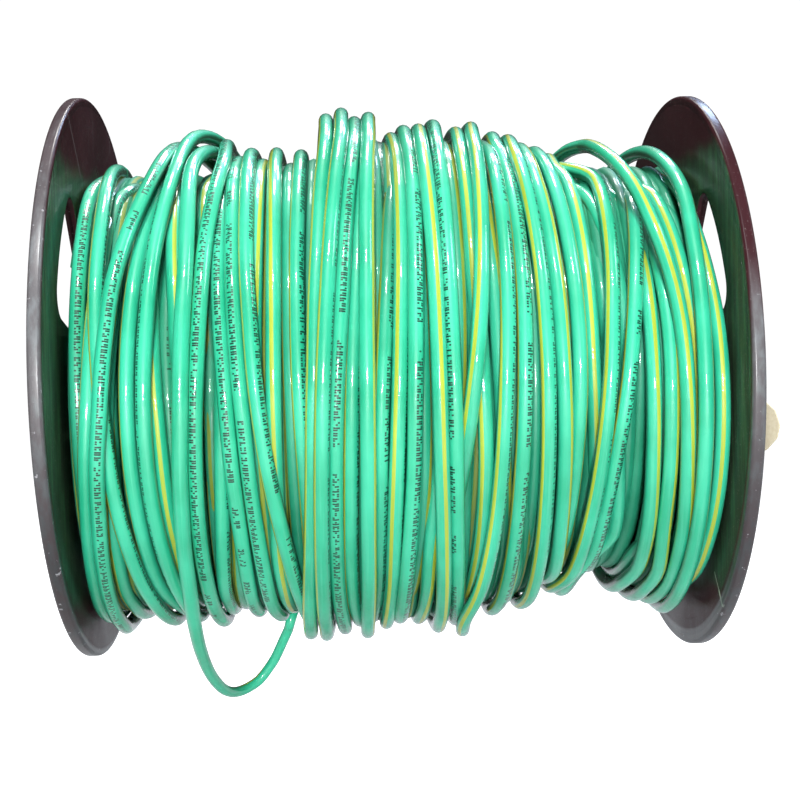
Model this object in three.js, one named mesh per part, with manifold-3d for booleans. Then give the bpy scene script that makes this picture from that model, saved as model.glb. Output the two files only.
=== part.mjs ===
// Wire spool: a moulded plastic reel wound with 10 AWG nylon-jacketed building wire.
// Frame: millimetres. The spool axis is X, +Z is up, the front is -Y.
// Origin: on the spool axis, midway between the two flanges.
// Angles "phi" run round the X axis from the front (-Y) towards the top (+Z).
import * as THREE from 'three';
import { mergeVertices } from 'three/addons/utils/BufferGeometryUtils.js';
import Module from 'manifold-3d';

const wasm = await Module();
wasm.setup();

// ---------- driving dimensions (mm) ----------
const FLANGE_R = 82.55;        // 6.5 in flange
const HALF_TRAVERSE = 86.75;   // axis midpoint to a flange's inner face
const RIM_T = 3.5;             // flange thickness at its rim and hub
const PLATE_T = 2.4;           // flange thickness between rim and hub
const RIM_W = 3.7;             // width of the raised rim
const HUB_R = 20.0;            // raised hub ring
const BORE_R = 14.3;           // arbor bore
const BARREL_RO = 31.75;       // winding barrel, 2.5 in outside
const BARREL_RI = 29.0;
const WINDOW_R0 = 36.0;        // kidney windows
const WINDOW_R1 = 64.8;
const WINDOW_A0 = 15.5;        // degrees, first window
const WINDOW_A1 = 53.5;
const WINDOW_CORNER = 6.5;
const TIE_HOLE_R = 3.3;        // holes for the wire's two ends
const TIE_DEG = 200;           // where the outer end leaves, behind and below the axis
const START_DEG = 200;         // where the inner end leaves, beside the barrel
const WIRE_R = 2.085;          // over the nylon jacket
const JACKET_RI = 1.985;
const INSUL_R = 1.955;         // PVC insulation
const INSUL_RI = 1.535;
const STRAND_R = 0.285;        // 19 strands, 1 + 6 + 12
const PITCH = 4.33;            // winding pitch of the outer turns
const LAYER_T = 3.85;          // radial step of the packed layers
const CLEAR = 0.3;

const rad = THREE.MathUtils.degToRad;

// Outer envelope of the wound wire: radius at the top and at the bottom, along X.
// The turns hang on the barrel, so the pack is deeper below than above.
const ENV_X = [-84.5, -50, -27, -12, 25, 46, 84.5];
const ENV_TOP = [62.3, 65.0, 66.5, 71.5, 70.5, 64.2, 63.6];
const ENV_BOT = [75.6, 76.5, 77.5, 78.0, 77.5, 73.2, 76.0];

function lerpTable(xs, ys, x) {
  if (x <= xs[0]) return ys[0];
  for (let i = 1; i < xs.length; i++) {
    if (x <= xs[i]) {
      const t = (x - xs[i - 1]) / (xs[i] - xs[i - 1]);
      return ys[i - 1] + (ys[i] - ys[i - 1]) * t;
    }
  }
  return ys[ys.length - 1];
}
function envelope(x, phi) {
  const t = lerpTable(ENV_X, ENV_TOP, x), b = lerpTable(ENV_X, ENV_BOT, x);
  return (t + b) / 2 + (t - b) / 2 * Math.sin(phi);
}

// point on the spool from axial place, radius and angle in degrees
const P = (x, r, deg) => new THREE.Vector3(x, -r * Math.cos(rad(deg)), r * Math.sin(rad(deg)));

// ---------- materials ----------
const mat = {
  reel: () => new THREE.MeshStandardMaterial({ color: 0x141214, roughness: 0.38, metalness: 0 }),
  core: () => new THREE.MeshStandardMaterial({ color: 0x1c1a1b, roughness: 0.5, metalness: 0 }),
  green: () => new THREE.MeshStandardMaterial({ color: 0x2fcf94, roughness: 0.18, metalness: 0 }),
  greenDeep: () => new THREE.MeshStandardMaterial({ color: 0x1f9f70, roughness: 0.25, metalness: 0 }),
  pvc: () => new THREE.MeshStandardMaterial({ color: 0x28b37f, roughness: 0.45, metalness: 0 }),
  copper: () => new THREE.MeshStandardMaterial({ color: 0xc9774a, roughness: 0.25, metalness: 1 }),
  paper: () => new THREE.MeshStandardMaterial({ color: 0xe9e2c4, roughness: 0.8, metalness: 0 }),
};

// ---------- solid helpers ----------
function clean(geometry) {
  const g = geometry.clone();
  g.deleteAttribute('normal');
  g.deleteAttribute('uv');
  return mergeVertices(g, 1e-4);
}
function signedVolume(g) {
  const p = g.attributes.position, ix = g.index.array;
  let v = 0;
  const a = new THREE.Vector3(), b = new THREE.Vector3(), c = new THREE.Vector3();
  for (let i = 0; i < ix.length; i += 3) {
    a.fromBufferAttribute(p, ix[i]);
    b.fromBufferAttribute(p, ix[i + 1]);
    c.fromBufferAttribute(p, ix[i + 2]);
    v += a.dot(b.cross(c)) / 6;
  }
  return v;
}
function outward(geometry) {
  const g = clean(geometry);
  const src = g.index.array, keep = [];
  for (let i = 0; i < src.length; i += 3) {
    if (src[i] !== src[i + 1] && src[i + 1] !== src[i + 2] && src[i] !== src[i + 2]) keep.push(src[i], src[i + 1], src[i + 2]);
  }
  g.setIndex(keep);
  if (signedVolume(g) < 0) {
    for (let i = 0; i < keep.length; i += 3) { const t = keep[i + 1]; keep[i + 1] = keep[i + 2]; keep[i + 2] = t; }
    g.setIndex(keep);
  }
  return g;
}
function toSolid(geometry) {
  const g = outward(geometry);
  return new wasm.Manifold(new wasm.Mesh({
    numProp: 3,
    vertProperties: new Float32Array(g.attributes.position.array),
    triVerts: new Uint32Array(g.index.array),
  }));
}
function fromSolid(s) {
  const m = s.getMesh();
  const g = new THREE.BufferGeometry();
  const n = m.numProp, v = new Float32Array(m.vertProperties.length / n * 3);
  for (let i = 0; i < v.length / 3; i++) for (let k = 0; k < 3; k++) v[3 * i + k] = m.vertProperties[n * i + k];
  g.setAttribute('position', new THREE.BufferAttribute(v, 3));
  g.setIndex(Array.from(m.triVerts));
  return g;
}
function named(name, geometry, material, parent) {
  const g = outward(geometry);
  g.computeVertexNormals();
  const m = new THREE.Mesh(g, material);
  m.name = name;
  parent.add(m);
  return m;
}

// a ring turned about local Z: profile of [radius, height] pairs
function ring(profile, segments) {
  const pts = profile.map(([r, h]) => new THREE.Vector2(r, h));
  pts.push(pts[0].clone());
  return new THREE.LatheGeometry(pts, segments).rotateX(Math.PI / 2);
}
function polygonShape(points) {
  const s = new THREE.Shape();
  points.forEach(([x, y], i) => (i ? s.lineTo(x, y) : s.moveTo(x, y)));
  s.closePath();
  return s;
}
function roundShape(r, sides, turn = 0) {
  const pts = [];
  for (let i = 0; i < sides; i++) {
    const a = turn + i / sides * 2 * Math.PI;
    pts.push([r * Math.cos(a), r * Math.sin(a)]);
  }
  return polygonShape(pts);
}
function slab(points, h0, h1) {
  return new THREE.ExtrudeGeometry(polygonShape(points), { depth: h1 - h0, bevelEnabled: false, steps: 1 }).translate(0, 0, h0);
}
// a rod of round section along a curve
function rod(curve, r, steps, sides) {
  return new THREE.ExtrudeGeometry(roundShape(r, sides), { steps, bevelEnabled: false, extrudePath: curve });
}
function smooth(points) {
  const c = new THREE.CatmullRomCurve3(points, false, 'centripetal');
  c.arcLengthDivisions = 600;
  return c;
}
// a straight sleeve along local Z
function sleeve(ro, ri, z0, z1, sides) {
  return ring([[ri, z0], [ro, z0], [ro, z1], [ri, z1]], sides);
}

const object = new THREE.Group();
const spool = new THREE.Group();
const slackLoop = new THREE.Group();
const wireTail = new THREE.Group();
const labelFlap = new THREE.Group();
object.add(spool, slackLoop, wireTail, labelFlap);

// ---------- flanges ----------
// Built flat: local X is world Y, local Y is world Z, local Z points outward from the inner face.
const flat = (r, deg) => [-r * Math.cos(rad(deg)), r * Math.sin(rad(deg))];

function kidney(r0, r1, a0, a1, c) {
  const pts = [];
  const arc = (cr, cd, from, to, n) => {
    // corner arc about the point at radius cr, angle cd; directions in the plane, degrees
    const [x, y] = flat(cr, cd);
    for (let i = 0; i <= n; i++) {
      const t = rad(from + (to - from) * i / n);
      pts.push([x + c * Math.cos(t), y + c * Math.sin(t)]);
    }
  };
  const d1 = THREE.MathUtils.radToDeg(Math.asin(c / (r1 - c)));
  const d0 = THREE.MathUtils.radToDeg(Math.asin(c / (r0 + c)));
  // the plane's own angle of the direction phi is 180 - phi
  const th = (phi) => 180 - phi;
  const n = 4;
  arc(r1 - c, a0 + d1, th(a0) + 90, th(a0 + d1), n);
  const m = 6;
  for (let i = 1; i < m; i++) pts.push(flat(r1, a0 + d1 + (a1 - a0 - 2 * d1) * i / m));
  arc(r1 - c, a1 - d1, th(a1 - d1), th(a1) - 90, n);
  arc(r0 + c, a1 - d0, th(a1) - 90, th(a1 - d0) - 180, n);
  for (let i = 1; i < 3; i++) pts.push(flat(r0, a1 - d0 - (a1 - a0 - 2 * d0) * i / 3));
  arc(r0 + c, a0 + d0, th(a0 + d0) + 180, th(a0) + 90, n);
  return pts;
}
function rib(deg, r0, r1, w, h0, h1) {
  const a = rad(deg);
  const ux = -Math.cos(a), uy = Math.sin(a), nx = -uy, ny = ux;
  return slab([
    [ux * r0 + nx * w / 2, uy * r0 + ny * w / 2], [ux * r1 + nx * w / 2, uy * r1 + ny * w / 2],
    [ux * r1 - nx * w / 2, uy * r1 - ny * w / 2], [ux * r0 - nx * w / 2, uy * r0 - ny * w / 2],
  ], h0, h1);
}
const RIB_ANGLES = [7.5, -59, 61.5, 94.5, 127.5, 181.5, 214.5, 247.5];

function flangeSolid() {
  let s = toSolid(ring([
    [BORE_R + 1, 0], [FLANGE_R - 0.6, 0], [FLANGE_R, 0.6], [FLANGE_R, RIM_T - 0.5], [FLANGE_R - 0.5, RIM_T],
    [FLANGE_R - RIM_W, RIM_T], [FLANGE_R - RIM_W - 0.4, PLATE_T], [BORE_R + 1, PLATE_T],
  ], 60));
  // hub ring outside, arbor sleeve inside
  s = s.add(toSolid(ring([[BORE_R, -10], [BORE_R + 3, -10], [BORE_R + 3, 1], [HUB_R, 1], [HUB_R, RIM_T], [BORE_R, RIM_T]], 24)));
  // spigot that centres the barrel
  s = s.add(toSolid(ring([[BARREL_RI - CLEAR - 2.2, -7], [BARREL_RI - CLEAR, -7], [BARREL_RI - CLEAR, 1], [BARREL_RI - CLEAR - 2.2, 1]], 24)));
  for (const a of RIB_ANGLES) s = s.add(toSolid(rib(a, HUB_R - 1, FLANGE_R - RIM_W + 1, 1.5, PLATE_T - 0.6, RIM_T - 0.3)));
  for (let k = 0; k < 3; k++) {
    const lip = kidney(WINDOW_R0 - 1.6, WINDOW_R1 + 1.6, WINDOW_A0 - 1.6 + 120 * k, WINDOW_A1 + 1.6 + 120 * k, WINDOW_CORNER + 1.2);
    s = s.add(toSolid(slab(lip, 1, RIM_T - 0.5)));
  }
  for (let k = 0; k < 3; k++) {
    const cut = kidney(WINDOW_R0, WINDOW_R1, WINDOW_A0 + 120 * k, WINDOW_A1 + 120 * k, WINDOW_CORNER);
    s = s.subtract(toSolid(slab(cut, -1, RIM_T + 1)));
  }
  // start hole beside the barrel and tie-off hole near the rim
  for (const [r, a] of [[BARREL_RO + 2.4, START_DEG], [75.0, TIE_DEG]]) {
    const [x, y] = flat(r, a);
    s = s.subtract(toSolid(new THREE.CylinderGeometry(TIE_HOLE_R, TIE_HOLE_R, 12, 14).rotateX(Math.PI / 2).translate(x, y, 1)));
  }
  return s;
}
const flangeGeometry = fromSolid(flangeSolid());
const toRight = new THREE.Matrix4().set(0, 0, 1, HALF_TRAVERSE, 1, 0, 0, 0, 0, 1, 0, 0, 0, 0, 0, 1);
const toLeft = new THREE.Matrix4().set(0, 0, -1, -HALF_TRAVERSE, 1, 0, 0, 0, 0, 1, 0, 0, 0, 0, 0, 1);
named('left_flange', flangeGeometry.clone().applyMatrix4(toLeft), mat.reel(), spool);
named('right_flange', flangeGeometry.clone().applyMatrix4(toRight), mat.reel(), spool);

// ---------- barrel ----------
const alongX = (g) => g.rotateY(Math.PI / 2);
const LAYER_SEG = 24;
named('core_barrel', alongX(sleeve(BARREL_RO, BARREL_RI, -HALF_TRAVERSE + CLEAR, HALF_TRAVERSE - CLEAR, LAYER_SEG)), mat.core(), spool);

// ---------- packed inner layers of wire ----------
const LAYER_HALF = HALF_TRAVERSE - CLEAR;
for (let k = 0; k < 6; k++) {
  const ri = BARREL_RO + 0.15 + k * LAYER_T;
  named(`winding_layer_0${k + 1}`, alongX(sleeve(ri + LAYER_T - 0.15, ri, -LAYER_HALF, LAYER_HALF, LAYER_SEG)), mat.greenDeep(), spool);
}

// Upper layers follow the sagging envelope. Their skin is a grid in X and phi.
const STATIONS = [-LAYER_HALF, -50, -27, -12, 25, 46, LAYER_HALF];
const UNDER_BASE = BARREL_RO + 0.15 + 6 * LAYER_T;
function underSkin(x, phi) {
  let low = Infinity;
  for (let d = -5; d <= 5; d += 1) low = Math.min(low, envelope(x + d, phi));
  return (low - WIRE_R) * Math.cos(Math.PI / 16) - WIRE_R - 0.9;
}
// A layer has the same thickness all round, set where the turns bear on the top of the pack.
// Below the barrel the slack turns hang apart, so a gap opens between one layer and the next.
function shapedLayer(k, count) {
  const n = LAYER_SEG, pos = [], idx = [];
  const inner = (x, phi) => UNDER_BASE + (underSkin(x, phi) - UNDER_BASE) * k / count;
  const outer = (x, phi) => inner(x, phi) + (underSkin(x, Math.PI / 2) - UNDER_BASE) / count - 0.15;
  for (const fn of [inner, outer]) for (const x of STATIONS) for (let j = 0; j < n; j++) {
    // the same angular phase as the turned layers
    const a = j / n * 2 * Math.PI;
    const phi = a;
    const r = fn(x, phi);
    pos.push(x, -r * Math.cos(phi), r * Math.sin(phi));
  }
  const m = STATIONS.length;
  const id = (s, i, j) => s * m * n + i * n + (j % n);
  for (let i = 0; i < m - 1; i++) for (let j = 0; j < n; j++) {
    idx.push(id(1, i, j), id(1, i, j + 1), id(1, i + 1, j), id(1, i + 1, j), id(1, i, j + 1), id(1, i + 1, j + 1));
    idx.push(id(0, i, j), id(0, i + 1, j), id(0, i, j + 1), id(0, i + 1, j), id(0, i + 1, j + 1), id(0, i, j + 1));
  }
  for (let j = 0; j < n; j++) {
    idx.push(id(0, 0, j), id(0, 0, j + 1), id(1, 0, j), id(1, 0, j), id(0, 0, j + 1), id(1, 0, j + 1));
    idx.push(id(0, m - 1, j), id(1, m - 1, j), id(0, m - 1, j + 1), id(1, m - 1, j), id(1, m - 1, j + 1), id(0, m - 1, j + 1));
  }
  const g = new THREE.BufferGeometry();
  g.setAttribute('position', new THREE.Float32BufferAttribute(pos, 3));
  g.setAttribute('uv', new THREE.Float32BufferAttribute(new Array(pos.length / 3 * 2).fill(0), 2));
  g.setIndex(idx);
  g.computeVertexNormals();
  return g;
}
named('winding_layer_07', shapedLayer(0, 3), mat.greenDeep(), spool);
named('winding_layer_08', shapedLayer(1, 3), mat.greenDeep(), spool);
named('winding_layer_09', shapedLayer(2, 3), mat.greenDeep(), spool);

// ---------- outer winding: one helical run of wire over the pack ----------
class Winding extends THREE.Curve {
  constructor(x0, x1, phi0) {
    super();
    this.x0 = x0; this.x1 = x1; this.phi0 = phi0;
    this.turns = (x1 - x0) / PITCH;
  }
  getPoint(t, target = new THREE.Vector3()) {
    const x = this.x0 + (this.x1 - this.x0) * t;
    const phi = this.phi0 + this.turns * 2 * Math.PI * t;
    const r = envelope(x, phi) - WIRE_R;
    return target.set(x, -r * Math.cos(phi), r * Math.sin(phi));
  }
  getUtoTmapping(u) { return u; }
}
const windEnd = HALF_TRAVERSE - CLEAR - WIRE_R;
const winding = new Winding(-windEnd, windEnd, rad(170));
named('outer_winding', rod(winding, WIRE_R, Math.round(winding.turns * 16), 5), mat.green(), spool);

// ---------- loose turns that lie over the outer winding ----------
// A loose turn runs from behind the top, over the front, to below the front.
function looseTurn(name, table, steps) {
  // rows: x, degrees, lift of the wire's underside above the envelope
  const pts = table.map(([x, deg, lift]) => P(x, envelope(x, rad(deg)) + WIRE_R + lift, deg));
  named(name, rod(smooth(pts), WIRE_R, steps, 6), mat.green(), spool);
}
looseTurn('loose_turn_left', [[-66, 118, 0.7], [-67, 95, 0.7], [-69, 70, 0.7], [-72, 45, 0.7], [-74, 20, 0.7], [-75, -5, 0.7], [-74, -30, 0.7]], 20);
looseTurn('loose_turn_middle', [[-15, 128, 0.8], [-15.5, 100, 0.8], [-15.5, 70, 0.8], [-15, 40, 0.8], [-14, 10, 0.8], [-12, -20, 0.8], [-9, -48, 0.8]], 24);
looseTurn('loose_turn_centre', [[6, 125, 0.8], [7, 95, 0.8], [9, 65, 0.8], [11, 35, 0.8], [13, 5, 0.8], [14, -25, 0.8], [14, -50, 0.8]], 24);
looseTurn('loose_turn_right', [[51, 118, 0.7], [54, 100, 3.2], [59, 82, 6.2], [64, 62, 4.6], [67.5, 40, 2.0], [69.5, 15, 0.8], [69, -12, 0.7], [66, -38, 0.7]], 26);

// ---------- slack turn and the bight that hangs below the spool ----------
const slackPts = [
  P(-49.8, 69.6, 128), P(-51.2, 71.6, 110), P(-52.6, 72.6, 94), P(-53.6, 73.4, 78), P(-54, 74.4, 58), P(-54, 75.2, 38),
  P(-53.8, 76.1, 18), P(-54.2, 76.8, -2), P(-55, 77.3, -20), P(-55.8, 77.7, -36), P(-56.2, 77.9, -46.2),
];
const swingA = P(-56.25, 78.0, -47.2);
const swingB = new THREE.Vector3(-30.4, 4.6, -80.9);
named('slack_turn', rod(smooth(slackPts), WIRE_R, 28, 7), mat.green(), spool);
const loopPts = [
  P(-56.3, 78.1, -48.2), new THREE.Vector3(-56.6, -42, -68), new THREE.Vector3(-56.6, -29, -79), new THREE.Vector3(-55.4, -15, -89.3),
  new THREE.Vector3(-52.2, -3.5, -96.4), new THREE.Vector3(-47.8, 5, -99.2), new THREE.Vector3(-43.2, 9.6, -98.6),
  new THREE.Vector3(-39.2, 10.6, -95), new THREE.Vector3(-35.4, 9.2, -89.2), new THREE.Vector3(-31.6, 5.9, -82.9),
];
named('slack_loop', rod(smooth(loopPts), WIRE_R, 26, 8), mat.green(), slackLoop);

// ---------- outer end of the wire, led through the left flange's tie-off hole ----------
const tie = flat(75.0, TIE_DEG);                 // world Y, Z of the hole
const leadPts = [
  P(-80.4, envelope(-80.4, rad(158)) + WIRE_R + 0.8, 158), P(-80.8, envelope(-80.8, rad(172)) + WIRE_R + 1.0, 172),
  P(-81.6, 74.3, 184), P(-82.6, 74.9, 192.5), P(-84.3, 75, 197.6), new THREE.Vector3(-86.6, tie[0], tie[1]), new THREE.Vector3(-89, tie[0], tie[1]), new THREE.Vector3(-91.6, tie[0], tie[1]),
];
named('tail_lead', rod(smooth(leadPts), WIRE_R, 16, 8), mat.green(), spool);

const TAIL_X = -94.0;                        // where the free end starts
const at = (g) => g.rotateY(-Math.PI / 2).translate(TAIL_X, tie[0], tie[1]);   // local Z becomes -X
named('tail_jacket', at(sleeve(WIRE_R, JACKET_RI, 0, 16, 16)), mat.green(), wireTail);
named('tail_insulation', at(sleeve(INSUL_R, INSUL_RI, 0, 18, 16)), mat.pvc(), wireTail);
class Lay extends THREE.Curve {
  constructor(r, a, twist, len) { super(); this.r = r; this.a = a; this.twist = twist; this.len = len; }
  getPoint(t, target = new THREE.Vector3()) {
    const a = this.a + this.twist * t;
    return target.set(this.r * Math.cos(a), this.r * Math.sin(a), this.len * t);
  }
  getUtoTmapping(u) { return u; }
}
const STRAND_LEN = 27;
let strand = 0;
for (const [count, r] of [[1, 0], [6, 0.6], [12, 1.18]]) {
  for (let i = 0; i < count; i++) {
    strand += 1;
    const path = new Lay(r, i / count * 2 * Math.PI, rad(r ? 190 : 0), STRAND_LEN);
    named(`tail_strand_${String(strand).padStart(2, '0')}`, at(rod(path, STRAND_R, r ? 6 : 1, 5)), mat.copper(), wireTail);
  }
}

// ---------- inner end of the wire, out through the right flange's start hole ----------
const start = flat(BARREL_RO + 2.4, START_DEG);
const startPts = [
  new THREE.Vector3(HALF_TRAVERSE + 0.2, start[0], start[1]), new THREE.Vector3(HALF_TRAVERSE + 4.4, start[0], start[1]),
  new THREE.Vector3(HALF_TRAVERSE + 7.4, start[0] + 0.6, start[1] - 1.6), new THREE.Vector3(HALF_TRAVERSE + 8.6, start[0] + 2.4, start[1] - 6.2),
  new THREE.Vector3(HALF_TRAVERSE + 8.6, start[0] + 4.6, start[1] - 12),
];
named('start_end_jacket', rod(smooth(startPts), WIRE_R, 12, 8), mat.green(), spool);
const startDir = new THREE.Vector3().subVectors(startPts[4], startPts[3]).normalize();
const startTip = startPts[4].clone().addScaledVector(startDir, 0.4);
named('start_end_conductor', rod(new THREE.LineCurve3(startTip, startTip.clone().addScaledVector(startDir, 6)), 1.47, 1, 8), mat.copper(), spool);

// ---------- paper label on the right flange's outer face, with a lifted flap ----------
const LABEL_X = HALF_TRAVERSE + PLATE_T + CLEAR;
const LABEL_T = 0.4;
const HINGE_Y = -60.25;
function roundedRect(y0, y1, z0, z1, c) {
  const pts = [];
  for (const [cy, cz, a0] of [[y1 - c, z1 - c, 0], [y0 + c, z1 - c, 90], [y0 + c, z0 + c, 180], [y1 - c, z0 + c, 270]]) {
    for (let i = 0; i <= 3; i++) { const t = rad(a0 + 30 * i); pts.push([cy + c * Math.cos(t), cz + c * Math.sin(t)]); }
  }
  return pts;
}
const outFace = new THREE.Matrix4().set(0, 0, 1, 0, 1, 0, 0, 0, 0, 1, 0, 0, 0, 0, 0, 1);
named('reel_label', slab(roundedRect(-60, -27, -40, 0.5, 3), LABEL_X, LABEL_X + LABEL_T).applyMatrix4(outFace), mat.paper(), spool);
// flap outline, along its own plane: distance from the hinge line and height Z
const flapPts = [[0.3, -25.5], [6, -25.3], [11.5, -23.6], [14.9, -20.6], [15.8, -17.4], [14.4, -13.6], [10.2, -10.6], [5, -9.3], [0.3, -9.2]];
const lift = rad(23.5);
const flapGeometry = slab(flapPts.map(([d, z]) => [-d, z]), -LABEL_T / 2, LABEL_T / 2).applyMatrix4(outFace)
  .rotateZ(lift).translate(LABEL_X + LABEL_T / 2, HINGE_Y, 0);
named('label_flap', flapGeometry, mat.paper(), labelFlap);

export default object;
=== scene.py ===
import math

import bpy
import bmesh
import numpy as np
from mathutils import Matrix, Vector


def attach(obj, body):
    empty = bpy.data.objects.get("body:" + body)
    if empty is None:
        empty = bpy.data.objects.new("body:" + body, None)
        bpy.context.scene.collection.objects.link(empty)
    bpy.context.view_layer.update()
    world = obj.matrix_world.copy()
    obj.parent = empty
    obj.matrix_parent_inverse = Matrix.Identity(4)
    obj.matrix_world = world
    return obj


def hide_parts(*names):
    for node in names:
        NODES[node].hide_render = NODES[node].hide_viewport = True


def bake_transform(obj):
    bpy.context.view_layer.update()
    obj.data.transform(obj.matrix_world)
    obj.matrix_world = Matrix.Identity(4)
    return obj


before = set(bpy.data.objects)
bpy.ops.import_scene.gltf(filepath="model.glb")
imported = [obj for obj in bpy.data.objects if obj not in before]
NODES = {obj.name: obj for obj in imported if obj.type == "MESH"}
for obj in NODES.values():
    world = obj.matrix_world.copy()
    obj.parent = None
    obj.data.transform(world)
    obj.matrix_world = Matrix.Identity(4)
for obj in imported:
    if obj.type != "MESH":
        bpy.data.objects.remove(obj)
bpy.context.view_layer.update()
RNG = np.random.default_rng(20)
MM = 0.001

# Lengths below are millimetres in the shared frame: the axis is X, +Z up, front -Y.
# Angle a runs round X in degrees: 0 front, 90 top, 180 back, -90 bottom.
WIRE_R = 2.085
HALF = 86.75
FLANGE_R = 82.55
CAM = np.array([-14.315, -407.534, 0.0])


def pt(x, r, deg):
    t = np.radians(deg)
    return np.array([x, -r * np.cos(t), r * np.sin(t)])


# ------------------------------------------------------------------ materials
def rgb(r, g, b):
    def f(c):
        c /= 255.0
        return c / 12.92 if c <= 0.04045 else ((c + 0.055) / 1.055) ** 2.4
    return (f(r), f(g), f(b), 1.0)


class Tree:
    """Small helper to write node trees."""

    def __init__(self, name):
        self.mat = bpy.data.materials.new(name)
        self.mat.use_nodes = True
        self.t = self.mat.node_tree
        self.t.nodes.clear()
        self.out = self.n("ShaderNodeOutputMaterial")
        self.bsdf = self.n("ShaderNodeBsdfPrincipled")
        self.t.links.new(self.bsdf.outputs[0], self.out.inputs[0])

    def n(self, kind, **kw):
        node = self.t.nodes.new(kind)
        for k, v in kw.items():
            setattr(node, k, v)
        return node

    def put(self, sock, v):
        if isinstance(v, bpy.types.NodeSocket):
            self.t.links.new(v, sock)
        elif v is not None:
            sock.default_value = v

    def math(self, op, a, b=None, c=None, clamp=False):
        m = self.n("ShaderNodeMath", operation=op, use_clamp=clamp)
        for i, v in enumerate((a, b, c)):
            if v is not None:
                self.put(m.inputs[i], v)
        return m.outputs[0]

    def mix(self, f, a, b, mode="MIX"):
        m = self.n("ShaderNodeMix", data_type="RGBA", blend_type=mode)
        self.put(m.inputs[0], f)
        self.put(m.inputs[6], a)
        self.put(m.inputs[7], b)
        return m.outputs[2]

    def noise(self, vec, scale, detail=2.0, rough=0.5, dim="3D"):
        m = self.n("ShaderNodeTexNoise", noise_dimensions=dim)
        self.put(m.inputs["Vector"], vec)
        self.put(m.inputs["Scale"], scale)
        self.put(m.inputs["Detail"], detail)
        self.put(m.inputs["Roughness"], rough)
        return m.outputs[0]

    def step(self, v, lo, hi):
        m = self.n("ShaderNodeMapRange", interpolation_type="SMOOTHSTEP")
        self.put(m.inputs[0], v)
        self.put(m.inputs[1], lo)
        self.put(m.inputs[2], hi)
        m.inputs[3].default_value = 0.0
        m.inputs[4].default_value = 1.0
        return m.outputs[0]

    def obj(self):
        return self.n("ShaderNodeTexCoord").outputs["Object"]

    def scaled(self, vec, s):
        m = self.n("ShaderNodeMapping")
        self.put(m.inputs["Vector"], vec)
        m.inputs["Scale"].default_value = s
        return m.outputs[0]

    def bump(self, h, strength, dist):
        m = self.n("ShaderNodeBump")
        self.put(m.inputs["Height"], h)
        m.inputs["Strength"].default_value = strength
        m.inputs["Distance"].default_value = dist
        return m.outputs[0]

    def set(self, **kw):
        for k, v in kw.items():
            self.put(self.bsdf.inputs[k.replace("_", " ")], v)


GREEN = rgb(56, 208, 164)
GREEN_DARK = rgb(28, 180, 134)
YELLOW = rgb(190, 206, 62)
INK = rgb(2, 14, 9)


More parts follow.
